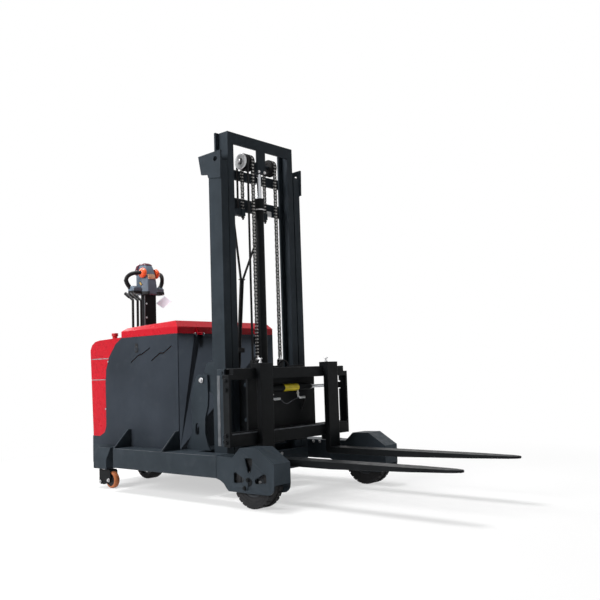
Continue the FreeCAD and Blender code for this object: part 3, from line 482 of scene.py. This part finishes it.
def chain_falls(where, x, low):
    # Straight runs that stretch between the body that holds them and the pulleys
    plates, rollers, hose = bmesh.new(), bmesh.new(), bmesh.new()
    for y in (-CHAIN_Y, CHAIN_Y):
        for k in range(int((PULLEY_Z - low) / PITCH)):
            chain_link(plates, rollers, y, (x, PULLEY_Z - (k + 0.5) * PITCH), 0.0, k % 2)
    tube(hose, [(x, HOSE_Y, low - 6), (x, HOSE_Y, PULLEY_Z)], HOSE_R, 14)
    for bm, mat, kind in ((plates, "chain", "plates"), (rollers, "chain_light", "rollers"),
                          (hose, "hose", "hose")):
        o = add("chain_" + where + "_" + kind, bm, mat, None, "chains_" + where)
        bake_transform(o)


def on_pulley(angle):
    return PULLEY_X + CHAIN_R * math.cos(angle), PULLEY_Z + CHAIN_R * math.sin(angle)


def chain_wraps():
    plates, rollers, hose = bmesh.new(), bmesh.new(), bmesh.new()
    links, bends = 7, 16
    for y in (-CHAIN_Y, CHAIN_Y):
        for k in range(links):
            angle = math.pi * (k + 0.5) / links
            chain_link(plates, rollers, y, on_pulley(angle), -angle, k % 2)
    arc = []
    for k in range(bends + 1):
        x, z = on_pulley(math.pi * k / bends)
        arc.append((x, HOSE_Y, z))
    tube(hose, arc, HOSE_R, 14)
    add("wrap_plates", plates, "chain", "inner_mast", "chain_wraps")
    add("wrap_rollers", rollers, "chain_light", "inner_mast", "chain_wraps")
    add("wrap_hose", hose, "hose", "inner_mast", "chain_wraps")


def pulley_set():
    dark, light, steel = bmesh.new(), bmesh.new(), bmesh.new()
    for y in (-CHAIN_Y, CHAIN_Y):
        for s in (-1, 1):
            lathe(dark, [(12, 12), (49, 12), (51, 13), (51, 15), (49, 16), (30, 16), (28, 13.5),
                         (12, 13.5)], (PULLEY_X, y, PULLEY_Z), (0, s, 0), 40)
        disc(dark, (PULLEY_X, y - 12, PULLEY_Z), (0, 1, 0), 40, 24, 1, 40)
    # The hose pulley has a bright outer face with a dark hub and a nut
    disc(dark, (PULLEY_X, HOSE_Y - 8, PULLEY_Z), (0, 1, 0), 39, 18, 1, 40)
    disc(dark, (PULLEY_X, HOSE_Y + 9, PULLEY_Z), (0, 1, 0), 49, 6, 2, 40)
    lathe(light, [(19, 0), (44, 0), (48, 3), (48, 5), (46, 8), (36, 9.5), (26, 8), (19, 8)],
          (PULLEY_X, HOSE_Y - 8, PULLEY_Z), (0, -1, 0), 48)
    disc(dark, (PULLEY_X, HOSE_Y - 10, PULLEY_Z), (0, -1, 0), 18.5, 8, 2, 32)
    bolt(steel, (PULLEY_X, HOSE_Y - 18, PULLEY_Z), (0, -1, 0), 13)
    for y in (-24, 24):
        bolt(steel, (PULLEY_X + 28, y, PULLEY_Z - 44), (1, 0, 0), 8)
    add("pulley_wheels", dark, "chain", "inner_mast", "pulleys")
    add("hose_pulley_face", light, "white", "inner_mast", "pulleys")
    add("pulley_bolts", steel, "steel", "inner_mast")


def anchors():
    # Threaded anchors with nuts below the middle tie and above the carriage
    low, high = bmesh.new(), bmesh.new()
    for y in (-CHAIN_Y, CHAIN_Y):
        x = PULLEY_X - CHAIN_R
        lathe(low, [(6, 0), (6, 74), (0, 74), (0, 0)], (x, y, TIE_ANCHOR_Z - 22), (0, 0, 1), 16)
        bolt(low, (x, y, TIE_ANCHOR_Z - 14), (0, 0, 1), 13, False)
        x = PULLEY_X + CHAIN_R
        bolt(high, (x, y, CARRIAGE_ANCHOR_Z), (0, 0, 1), 15)
        lathe(high, [(6, 0), (6, 22), (0, 22), (0, 0)], (x, y, CARRIAGE_ANCHOR_Z), (0, 0, 1), 16)
    add("tie_anchors", low, "chain", "outer_mast")
    add("carriage_anchors", high, "steel", "carriage")


def mast_trim():
    steel, white, black = bmesh.new(), bmesh.new(), bmesh.new()
    lathe(steel, [(25.2, -3), (31, -3), (32, 0), (31, 3), (25.2, 3)],
          (PULLEY_X, 0, TIE_ANCHOR_Z + 41), (0, 0, 1), 40)
    block(white, (-207, 126, 1628), (-186, 162, 1662), 3)
    for z in (1636, 1645, 1654):
        block(white, (-187, 129, z - 2), (-184, 159, z + 2), 0.8, 1)
    # Tie round the two hoses where they meet, and their clip on the mast's rear
    block(black, (-238, -87, 1224), (-218, -49, 1231), 2)
    block(black, (-238, -130, 792), (-207, -80, 820), 3)
    for y in (-123, -87):
        bolt(steel, (-238, y, 806), (-1, 0, 0), 6)
    lathe(black, [(0, 0), (11, 0), (11, 22), (8, 26), (8, 34), (0, 34)], (-228, -132, 1610),
          (0, 0, 1), 6)
    # Joints of the lift cylinder's foot and its ports
    disc(black, (PULLEY_X, 0, 125), (0, 0, 1), 34, 12, 2, 36)
    block(black, (PULLEY_X - 40, -14, 150), (PULLEY_X - 20, 14, 178), 3)
    tube(black, [(PULLEY_X - 38, 0, 164), (PULLEY_X - 58, 0, 164), (PULLEY_X - 64, -40, 168)],
         7, 12, 2)
    for y in (-89, 89):
        bolt(steel, (-91, y, 196), (1, 0, 0), 9)
    add("mast_bolts", steel, "steel", "outer_mast")
    add("white_valve", white, "white", "outer_mast")
    add("hose_clips", black, "plastic", "outer_mast")


def mast_welds():
    # Weld beads round the ear plates and under the crossbar
    ears, top = bmesh.new(), bmesh.new()
    for s in (-1, 1):
        y = s * EAR_Y
        tube(ears, [(-204, y, 1812), (-200, y, 1789), (-100, y, 1774)], 2.4, 8)
        tube(ears, [(PIVOT_X + 56, y, 746), (-205, y, 746)], 2.4, 8)
    for s in (-1, 1):
        y = s * UPRIGHT_Y
        tube(top, [(-118, y, 1996), (-118, y, 2060)], 3, 8)
        tube(top, [(-104, y, 1994), (-118, y, 1994)], 2.5, 8)
    add("ear_welds", ears, "paint", "outer_mast")
    add("crossbar_welds", top, "paint", "inner_mast")


# The wheels

def caster_dress(side, s):
    name = "caster_roll_" + side
    tread, hub, steel = bmesh.new(), bmesh.new(), bmesh.new()
    y = s * CASTER_Y
    lathe(tread, [(37, -17), (44, -18), (48, -14), (50, -6), (50, 6), (48, 14), (44, 18), (37, 17)],
          (CASTER_X, y, CASTER_Z), (0, 1, 0), 48)
    lathe(hub, [(7.2, -19), (16, -19), (18, -16), (33, -14), (38, -17.2), (38, 17.2), (33, 14),
                (18, 16), (16, 19), (7.2, 19)], (CASTER_X, y, CASTER_Z), (0, 1, 0), 40)
    for way in (-1, 1):
        bolt(steel, (CASTER_X, y + way * 30, CASTER_Z), (0, way, 0), 11)
        bolt(steel, (SWIVEL_X - 28, y + way * 31, 38), (0, way, 0), 9)
    add("caster_tread_" + side, tread, "tread", name, "caster_wheel_" + side)
    add("caster_hub_" + side, hub, "plastic", name, "caster_wheel_" + side)
    add("caster_nuts_" + side, steel, "steel", "caster_swivel_" + side)
    top = bmesh.new()
    lathe(top, [(13, 0), (30, 0), (32, 2), (32, 4), (24, 5.5), (13, 5.5)], (SWIVEL_X, y, 112),
          (0, 0, 1), 32)
    add("caster_race_" + side, top, "steel", "caster_swivel_" + side)


def front_wheel_dress(side, s):
    rim, steel, wall = bmesh.new(), bmesh.new(), bmesh.new()
    for way in (-1, 1):
        y = s * TYRE_Y + way * 30
        lathe(rim, [(24, 0), (30, 0), (34, 4), (58, 3), (66, 0.5), (72, 2), (77, 6), (77, 9),
                    (70, 8), (62, 4), (34, 7), (28, 12), (24, 12)], (AXLE_X, y, AXLE_Z),
              (0, way, 0), 48)
        for k in range(6):
            dx, dz = round_point(48, k, 6)
            bolt(steel, (AXLE_X + dx, y + way * 3, AXLE_Z + dz), (0, way, 0), 9)
        # Beads and a raised band on the tyre's side
        edge = s * TYRE_Y + way * 42
        for r in (80, 96, 112):
            lathe(wall, [(r, -0.5), (r + 1, 1.2), (r + 4, 1.2), (r + 5, -0.5)],
                  (AXLE_X, edge, AXLE_Z), (0, way, 0), 64)
    add("rim_face_" + side, rim, "rim", "front_wheel_" + side)
    add("rim_bolts_" + side, steel, "steel", "front_wheel_" + side)
    add("tyre_bands_" + side, wall, "tyre", "front_wheel_" + side)


def housing_dress(side, s):
    weld, dark = bmesh.new(), bmesh.new()
    y = s * LEG_OUT_Y
    for x, z in ((250, 146), (226, 104)):
        bolt(dark, (x, y + s * 5, z), (0, s, 0), 11)
    disc(dark, (AXLE_X, y, AXLE_Z), (0, s, 0), 19, 2.5, 1, 28)
    tube(weld, [(14, y, 137), (14, y, LEG_TOP_Z)], 2.4, 8)
    tube(weld, [(14, y - s * 3, LEG_TOP_Z), (14, y - s * 117, LEG_TOP_Z)], 2.4, 8)
    seam_z = LEG_TOP_Z + 1
    for x in (-885, -426):
        tube(weld, [(x, s * (LEG_OUT_Y - 1), seam_z), (x, s * 402, seam_z)], 2.6, 8)
    tube(weld, [(-425, s * 347, seam_z), (-225, s * 347, seam_z)], 2.6, 8)
    add("axle_end_" + side, dark, "black", "chassis")
    add("welds_" + side, weld, "paint", "chassis")


def drive_dress():
    tread, hub, steel = bmesh.new(), bmesh.new(), bmesh.new()
    centre = (DRIVE_X, DRIVE_Y, DRIVE_R)
    lathe(tread, [(88, -36), (106, -37.5), (113, -34), (DRIVE_R, -28), (DRIVE_R, 28), (113, 34),
                  (106, 37.5), (88, 36)], centre, (0, 1, 0), 64)
    lathe(hub, [(18.2, -34), (44, -34), (50, -26), (80, -26), (88.5, -36), (88.5, 36), (80, 26),
                (50, 26), (44, 34), (18.2, 34)], centre, (0, 1, 0), 48)
    for k in range(8):
        dx, dz = round_point(64, k, 8)
        bolt(steel, (DRIVE_X + dx, DRIVE_Y - 26, DRIVE_R + dz), (0, -1, 0), 9)
    add("drive_tread", tread, "tyre", "drive_roll", "drive_wheel")
    add("drive_hub", hub, "rim", "drive_roll", "drive_wheel")
    add("drive_bolts", steel, "steel", "drive_roll")


# The body

def side_trim():
    light, steel, dark, key = bmesh.new(), bmesh.new(), bmesh.new(), bmesh.new()
    for s in (-1, 1):
        y = s * BODY_Y
        # Pale lines along each side's two grooves are painted highlights
        for z, end_x in ((658, -1146), (791, -1110.09)):
            block(light, (-1290, y - 1.2, z - 2.6), (end_x, y + 1.2, z + 2.6), 0.8, 1)
        for x, z in ((-1113, 771), (-1143, 474)):
            socket_screw(steel, (x, y, z), (0, s, 0), 7)
        # Inner louvres behind the slanted slots
        for points in (((-875, 756), (-803, 796), (-771, 800), (-688, 837)),
                       ((-675, 759), (-595, 802), (-566, 799), (-487, 840))):
            tube(dark, [(x, s * (BODY_Y - 7), z) for x, z in points], 5, 8)
        # Lock with its black plate
        lathe(key, [(9, 0), (17, 0), (18, 1.5), (16, 4), (9.2, 4)], (LOCK_X, y, LOCK_Z),
              (0, s, 0), 28)
        disc(dark, (LOCK_X, y, LOCK_Z), (0, s, 0), 9.5, 5, 1, 24)
        plate_y = s * (BODY_Y + 1)
        block(dark, (LOCK_X - 14, plate_y - 1, LOCK_Z - 22),
              (LOCK_X + 14, plate_y + 1, LOCK_Z + 32), 1)
    add("shell_groove_highlights", light, "bright", "chassis")
    add("body_screws", steel, "steel", "chassis")
    add("louvres", dark, "plastic", "chassis")
    add("locks", key, "rim", "chassis")


def deck_trim():
    # What stands round the levers, the stop knob and the tiller's post
    rubber, ring, boot = bmesh.new(), bmesh.new(), bmesh.new()
    for y in LEVER_YS:
        lathe(rubber, [(8.2, 0), (15, 0), (16, 4), (12, 8), (14, 12), (10.5, 17), (12, 21),
                       (8.2, 26)], (LEVER_X, y, LEVER_Z), (0, 0, 1), 24)
    block(rubber, (LEVER_X - 38, -311, LEVER_Z - 1), (LEVER_X + 16, -192, LEVER_Z + 2), 1.5)
    lathe(ring, [(17, 0), (27, 0), (28, 2), (27, 5), (17, 5)], (STOP_X, STOP_Y, STOP_Z),
          (0, 0, 1), 36)
    lathe(boot, [(23, 0), (56, 0), (58, 3), (50, 8), (44, 8), (40, 14), (34, 14), (30, 20),
                 (23, 20)], (DRIVE_X, DRIVE_Y, POST_LOW_Z), (0, 0, 1), 48)
    add("lever_boots", rubber, "plastic", "chassis")
    add("stop_ring", ring, "yellow", "chassis")
    add("post_boot", boot, "hose", "chassis")


def hood_trim():
    pins, lid = bmesh.new(), bmesh.new()
    for y in HINGE_YS:
        for offset, way in ((-14, -1), (54, 1)):
            disc(pins, (HINGE_X, y + offset, HINGE_Z), (0, way, 0), 6, 3, 1, 20)
        for offset in (8, 32):
            socket_screw(lid, (HINGE_X - 9, y + offset, HINGE_Z + 16), (1, 0, 0), 6)
    block(lid, (-974.5, -384, 921), (-971.5, 384, 924), 0.8, 1)
    add("hinge_pins", pins, "steel", "chassis")
    add("hood_trim", lid, "paint", "hood")


# The tiller

def head_ring(z, front, front_half, corner, half, rear):
    # Six-sided outline round the post: x of front, corner and rear, and half the width at each
    x, y = DRIVE_X, DRIVE_Y
    rear_half = half * 0.96
    return [(x + front, y - front_half, z), (x + front, y + front_half, z),
            (x + corner, y + half, z), (x + rear, y + rear_half, z),
            (x + rear, y - rear_half, z), (x + corner, y - half, z)]


def handle(grey, black):
    # The head narrows upwards; every ring is the outline of one height
    x, y = DRIVE_X, DRIVE_Y
    loft(grey, [head_ring(HEAD_LOW_Z, 56, 38, 16, 62, -40), head_ring(1226, 57, 39, 16, 63, -45),
                head_ring(1300, 48, 34, 13, 60, -52), head_ring(1352, 41, 31, 8, 57, -56),
                head_ring(1396, 24, 30, -2, 51, -57), head_ring(1418, 12, 27, -10, 42, -44),
                head_ring(1429, -4, 20, -16, 28, -24)], 7, 4)
    wing = [(x - 50, 1224), (x + 15, 1224), (x + 15, 1262), (x, 1275), (x - 50, 1275)]
    prism(grey, wing, "y", y - 128, y + 128, 8, 4)
    # Black trays under the wings and the recess at the lower front corner
    for s in (-1, 1):
        lo, hi = sorted((y + s * 64, y + s * 129))
        block(black, (x - 48, lo, 1221), (x + 17, hi, 1244), 6, 3)
        corner = [(61, 30), (58, 41), (42, 53), (14, 66), (2, 60), (30, 30)]
        prism(black, [(x + dx, y + s * dy) for dx, dy in corner], "z", HEAD_LOW_Z - 1, 1238, 4, 3)


def grips(black, orange):
    x, y = DRIVE_X, DRIVE_Y
    loop = [(22, 70, 1364), (0, 112, 1362), (-24, 142, 1346), (-38, 152, 1318), (-38, 142, 1290),
            (-36, 118, 1262), (-34, 92, 1240)]
    for s in (-1, 1):
        line = [(x + dx, y + s * dy, z) for dx, dy, z in loop]
        tube(black, line, 13.5, 20, 3)
        tube(black, line[3:6], 14.5, 20, 3)
        lathe(orange, [(0, -4), (31, -4), (34, 2), (34, 9), (31, 14), (20, 25), (14.5, 28),
                       (0, 28)], (x + 16, y + s * 50, 1363), (0.12, s, 0.1), 40, False)


def buttons(black, beige, red, yellow):
    x, y = DRIVE_X, DRIVE_Y
    prism(beige, [(y - 32, 1355), (y + 20, 1355), (y + 32, 1323), (y - 30, 1323)], "x",
          x + 36, x + 47, 1.5, 2)
    # The belly button covers the rear of the head and its top
    prism(red, [(y - 60, 1352), (y - 62, 1388), (y - 50, 1420), (y - 30, 1434), (y + 30, 1434),
                (y + 50, 1420), (y + 62, 1388), (y + 60, 1352)], "x", x - 60, x - 34, 7, 3)
    loft(red, [head_ring(1419, 14, 30, -8, 44, -44), head_ring(1428, 6, 26, -12, 36, -38),
               head_ring(1436, -8, 15, -18, 24, -28)], 4, 3)
    turn = Matrix.Translation((x + 4, y - 60, 1291)) @ Matrix.Rotation(math.radians(48), 4, "Y")
    block(black, (-16, -2.5, -7.5), (16, 2, 7.5), 6, 3, turn)
    block(yellow, (-12.5, -5.5, -5.5), (12.5, 1, 5.5), 4.5, 3, turn)


def column_trim(steel, edge):
    x, y = DRIVE_X, DRIVE_Y
    # Painted highlight: a pale strip down the column's left front corner
    block(edge, (x + 23, y - 48.5, 1000), (x + 29.5, y - 43, HEAD_LOW_Z - 2), 2, 2)
    for z in (1156, 1063):
        socket_screw(steel, (x + 28, y - 36, z), (1, 0, 0), 8)
    for s in (-1, 1):
        bolt(steel, (x, y + s * 38, 960), (0, s, 0), 12)


def hanging_card(card):
    # Blank card that hangs from the left wing
    x = DRIVE_X + 37
    swing = Matrix.Translation((x, 60, 0)) @ Matrix.Rotation(math.radians(-58), 4, "Z")
    prism(card, [(0, 1213), (50, 1177), (-11, 1130), (-61, 1166)], "x", 0, 1.2, 0.3, 1, swing)
    tube(card, [(x - 23, 58, 1226), (x - 7, 60, 1220), (x + 0.6, 59, 1208)], 0.9, 8, 1)


def tiller_dress():
    grey, black, orange, beige, red, yellow, steel, card, edge = [bmesh.new() for _ in range(9)]
    handle(grey, black)
    grips(black, orange)
    buttons(black, beige, red, yellow)
    column_trim(steel, edge)
    hanging_card(card)
    add("handle_body", grey, "grey", "tiller", "tiller_head", 24)
    add("handle_black", black, "plastic", "tiller", "tiller_head")
    add("throttles", orange, "orange", "tiller", "tiller_head")
    add("handle_panel", beige, "beige", "tiller")
    add("belly_button", red, "maroon", "tiller")
    add("horn_button", yellow, "amber", "tiller")
    add("column_screws", steel, "steel", "tiller")
    add("column_edge_highlight", edge, "pale_and_highlight", "tiller")
    add("painted_glow_card", card, "card", "tiller")


# The carriage, the side shifter and the mast's pins

def shift_pipes(white, cable):
    # Two pipe fittings below the cylinder and the cable between them
    x, low = SHIFT_X, 522
    for y in (-122, 92):
        tube(white, [(x + 4, y, SHIFT_Z - 20), (x + 4, y, SHIFT_Z - 58), (x + 6, y + 12, low),
                     (x + 8, y + 56, low - 1)], 5, 14, 2)
        for offset in (14, 32, 48):
            lathe(white, [(0, 0), (8, 0), (8, 8), (0, 8)], (x + 7, y + offset, low), (0, 1, 0), 6,
                  False)
        bolt(white, (x + 4, y, SHIFT_Z - 40), (0, 0, 1), 10, False)
    tube(cable, [(x + 8, -66, low - 1), (x + 14, -20, 486), (x + 20, 30, 512), (x + 8, 92, low)],
         2.6, 8, 3)


def carriage_hoses(hose):
    # One hose below the cylinder and three loops above the top bar
    x = PULLEY_X + CHAIN_R
    tube(hose, [(SHIFT_X + 8, 146, 521), (SHIFT_X - 6, 162, 512), (20, 164, 474), (8, 154, 440)],
         5, 12, 3)
    tube(hose, [(-20, -8, 690), (0, -12, 726), (20, 4, 742), (34, 24, 726), (36, 30, 690)],
         5, 12, 3)
    tube(hose, [(-30, -205, 690), (0, -215, 712), (28, -190, 716), (24, -170, 690)], 4, 12, 3)
    tube(hose, [(x, HOSE_Y, CARRIAGE_ANCHOR_Z + 1), (-70, HOSE_Y, 720), (-30, HOSE_Y + 20, 706),
                (4, HOSE_Y + 60, 660)], HOSE_R, 14, 3)


def carriage_ends(plate, strip):
    # End plate with a pale strip at the right, slim bar at the left
    for s in (-1, 1):
        for z in (414, 606):
            bolt(plate, (-60, s * 223, z), (0, s, 0), 12)
    block(plate, (8, -502, 298), (62, -490, 697), 2.5)
    block(strip, (9, -504.5, 300), (30, -501, 664), 1, 2)
    # The shifter's rod passes through the gap in the slim bar
    for low, high in ((362, SHIFT_Z - 24), (SHIFT_Z + 24, 642)):
        block(plate, (44, 478, low), (58, 490, high), 2)
    for z in (320, 345, 655, 680):
        bolt(plate, (47, -502, z), (0, -1, 0), 9)


def carriage_dress():
    steel, yellow, hose, white, plate, pale = [bmesh.new() for _ in range(6)]
    lathe(yellow, [(20, -31), (20.8, -30), (20.8, 91), (20, 92)], (SHIFT_X, 0, SHIFT_Z),
          (0, 1, 0), 40, False)
    lathe(steel, [(10.2, 0), (16, 0), (17, 2), (17, 8), (10.2, 8)], (SHIFT_X, 200, SHIFT_Z),
          (0, 1, 0), 32)
    shift_pipes(white, pale)
    carriage_hoses(hose)
    carriage_ends(plate, pale)
    add("cylinder_label", yellow, "yellow", "carriage")
    add("carriage_bolts", steel, "steel", "carriage")
    add("carriage_hoses", hose, "hose", "carriage")
    add("pipe_fittings", white, "white", "carriage")
    add("bar_end_plates", plate, "paint", "carriage")
    add("pale_strip", pale, "pale_and_highlight", "carriage")


def shifter_dress():
    steel, dark, edge = bmesh.new(), bmesh.new(), bmesh.new()
    for y, way in ((-530, -1), (462, 1)):
        for x, z in ((104, 638), (104, 590), (100, 356), (100, 322)):
            bolt(dark, (x, y, z), (0, way, 0), 13)
    # Latch on top of each fork
    for y in (-FORK_Y, FORK_Y):
        disc(steel, (FORK_X, y, 724), (0, 0, 1), 9, 6, 1, 24)
        lathe(steel, [(0, 0), (6, 0), (6, 14), (8, 15), (8, 19), (5, 21), (0, 21)],
              (FORK_X, y, 730), (0, 0, 1), 20, False)
        tube(steel, [(FORK_X - 8, y - 9, 747), (FORK_X, y, 751), (FORK_X + 8, y + 9, 747)],
             2.4, 10, 2)
    # Locating notches along the top bar, clear of the forks, and painted highlights along the lips
    # of the two bars
    for k in range(-8, 10):
        y = -34 + k * 50
        if abs(abs(y) - FORK_Y) > 55:
            block(dark, (97, y - 6, 696), (123, y + 6, 698.5), 0.8, 1)
    for y0, y1 in ((-513, -330), (-232, 232)):
        block(edge, (121, y0, 359), (127, y1, 365.5), 1.2, 2)
    for y0, y1 in ((-513, -330), (-230, 232)):
        block(edge, (93, y0, 694), (97, y1, 699.5), 1, 2)
    add("end_plate_bolts", dark, "black", "shifter")
    add("fork_latches", steel, "steel", "shifter")
    add("painted_highlight_lips", edge, "pale_and_highlight", "shifter")


def pivot_dress():
    steel, lines, clevis = bmesh.new(), bmesh.new(), bmesh.new()
    for s in (-1, 1):
        bolt(steel, (PIVOT_X, s * 358, PIVOT_Z), (0, s, 0), 14)
        y = s * (LEG_OUT_Y - 3)
        # Painted highlights: a pale line along each leg's upper outer edge and one up the slope at
        # x -436
        block(lines, (-886, y - 1.6, LEG_TOP_Z - 1.4), (8, y + 1.6, LEG_TOP_Z + 0.8), 0.6, 1)
        tube(lines, [(-436, s * (LEG_OUT_Y - 1), LEG_TOP_Z + 2), (-436, s * 424, 356),
                     (-436, s * 402, 356)], 1.6, 6)
        bolt(steel, (-412, s * TILT_PIN_Y, TILT_PIN_Z), (0, s, 0), 14)
        bolt(clevis, (-245, s * TILT_PIN_Y, TILT_PIN_Z), (0, s, 0), 14)
        for x in (-114, -63):
            bolt(steel, (x, s * 408, 238), (0, -s, 0), 9)
    add("pivot_bolts", steel, "steel", "chassis")
    add("painted_highlight_edges", lines, "pale_and_highlight", "chassis")
    add("clevis_nuts", clevis, "steel", "outer_mast")


def battery_dress():
    tops, leads = bmesh.new(), bmesh.new()
    top_z = 640
    for i in range(6):
        for j in range(4):
            disc(tops, (-850 + i * 72, -255 + j * 170, top_z), (0, 0, 1), 16, 9, 2, 20)
    for j in range(4):
        y = -215 + j * 140
        tube(leads, [(-850, y, top_z + 2), (-850, y, top_z + 9), (-490, y, top_z + 9),
                     (-490, y, top_z + 2)], 7, 12, 2)
    add("cell_caps", tops, "yellow", "chassis")
    add("cell_leads", leads, "hose", "chassis")


chain_falls("front", PULLEY_X + CHAIN_R, CARRIAGE_ANCHOR_Z)
chain_falls("rear", PULLEY_X - CHAIN_R, TIE_ANCHOR_Z + 40)
chain_wraps()
pulley_set()
anchors()
mast_trim()
mast_welds()
for side, s in SIDES:
    caster_dress(side, s)
    front_wheel_dress(side, s)
    housing_dress(side, s)
drive_dress()
side_trim()
deck_trim()
hood_trim()
tiller_dress()
carriage_dress()
shifter_dress()
pivot_dress()
battery_dress()


# Floor, light and camera

def seen_by(t):
    # 1 for camera, glossy and transmission rays
    path = put(t, "ShaderNodeLightPath")
    last = path.outputs["Is Camera Ray"]
    for other in ("Is Glossy Ray", "Is Transmission Ray"):
        m = put(t, "ShaderNodeMath", operation="MAXIMUM")
        t.links.new(last, m.inputs[0])
        t.links.new(path.outputs[other], m.inputs[1])
        last = m.outputs[0]
    return last


def lay_floor():
    bm = bmesh.new()
    bmesh.ops.create_grid(bm, x_segments=8, y_segments=8, size=40000)
    floor = make("floor", bm, "white", None)
    m, t, b = node_tree("pale_floor")
    co = put(t, "ShaderNodeTexCoord").outputs["Object"]
    t.links.new(ramp(t, noise(t, co, 0.7), [(0.3, 0.90), (0.7, 0.92)]), b.inputs["Base Color"])
    b.inputs["Roughness"].default_value = 0.9
    b.inputs["Specular IOR Level"].default_value = 0.1
    # Away from the machine the floor fades into the white room
    far = put(t, "ShaderNodeVectorMath", operation="LENGTH")
    t.links.new(co, far.inputs[0])
    fade = put(t, "ShaderNodeMapRange", interpolation_type="SMOOTHSTEP")
    for name, value in (("From Min", 1.0), ("From Max", 3.2), ("To Min", 0.55)):
        fade.inputs[name].default_value = value
    t.links.new(far.outputs["Value"], fade.inputs["Value"])
    seen = put(t, "ShaderNodeMath", operation="MULTIPLY")
    t.links.new(fade.outputs["Result"], seen.inputs[0])
    t.links.new(seen_by(t), seen.inputs[1])
    glow = put(t, "ShaderNodeEmission")
    glow.inputs["Color"].default_value = (1, 1, 1, 1)
    mix = put(t, "ShaderNodeMixShader")
    t.links.new(seen.outputs[0], mix.inputs[0])
    t.links.new(b.outputs[0], mix.inputs[1])
    t.links.new(glow.outputs[0], mix.inputs[2])
    t.links.new(mix.outputs[0], t.nodes["Material Output"].inputs["Surface"])
    floor.data.materials[0] = m


def white_room():
    # White where it is seen, and a weak soft light for everything else
    world = bpy.data.worlds.new("white_room")
    world.use_nodes = True
    w = world.node_tree
    w.nodes["Background"].inputs["Color"].default_value = (1, 1, 1, 1)
    level = put(w, "ShaderNodeMapRange")
    level.inputs["To Min"].default_value = 0.10
    level.inputs["To Max"].default_value = 1.0
    w.links.new(seen_by(w), level.inputs["Value"])
    w.links.new(level.outputs["Result"], w.nodes["Background"].inputs["Strength"])
    bpy.context.scene.world = world


def face_to(point, target):
    return (Vector(target) - Vector(point)).to_track_quat("-Z", "Y")


def lamps():
    # Name, place and target in metres, width in metres, power in watts
    for name, place, target, size, power in (
            ("key", (-1.6, -5.8, 3.4), (-0.5, 0, 0.8), 3.0, 400.0),
            ("top", (-1.3, -0.4, 5.8), (-0.5, 0, 0.7), 2.0, 300.0),
            ("rear", (-5.6, 1.6, 3.6), (-0.8, 0, 0.9), 2.6, 190.0),
            ("front", (5.2, 0.6, 2.4), (0, 0, 0.8), 2.5, 8.0)):
        data = bpy.data.lights.new(name, "AREA")
        data.size = size
        data.energy = power
        lamp = bpy.data.objects.new(name, data)
        lamp.location = place
        lamp.rotation_mode = "QUATERNION"
        lamp.rotation_quaternion = face_to(place, target)
        bpy.context.scene.collection.objects.link(lamp)


def camera():
    # Place, angles and focal length in pixels were fitted to the photograph
    place = (2.9696, -3.2190, 0.6818)
    yaw, pitch, roll = math.radians(131.05), math.radians(5.26), math.radians(-1.86)
    focal_px, photo_px = 756.21, 600
    ahead = Vector((math.cos(yaw) * math.cos(pitch), math.sin(yaw) * math.cos(pitch),
                    math.sin(pitch)))
    level = Vector((math.sin(yaw), -math.cos(yaw), 0))
    upright = level.cross(ahead)
    right = level * math.cos(roll) + upright * math.sin(roll)
    up = -level * math.sin(roll) + upright * math.cos(roll)
    data = bpy.data.cameras.new("camera")
    data.sensor_width = 36
    data.lens = focal_px / photo_px * data.sensor_width
    data.clip_end = 200
    cam = bpy.data.objects.new("camera", data)
    cam.matrix_world = (Matrix.Translation(place)
                        @ Matrix((right, up, -ahead)).transposed().to_4x4())
    bpy.context.scene.collection.objects.link(cam)
    bpy.context.scene.camera = cam


lay_floor()
white_room()
lamps()
bpy.context.scene.view_settings.view_transform = "Standard"
camera()
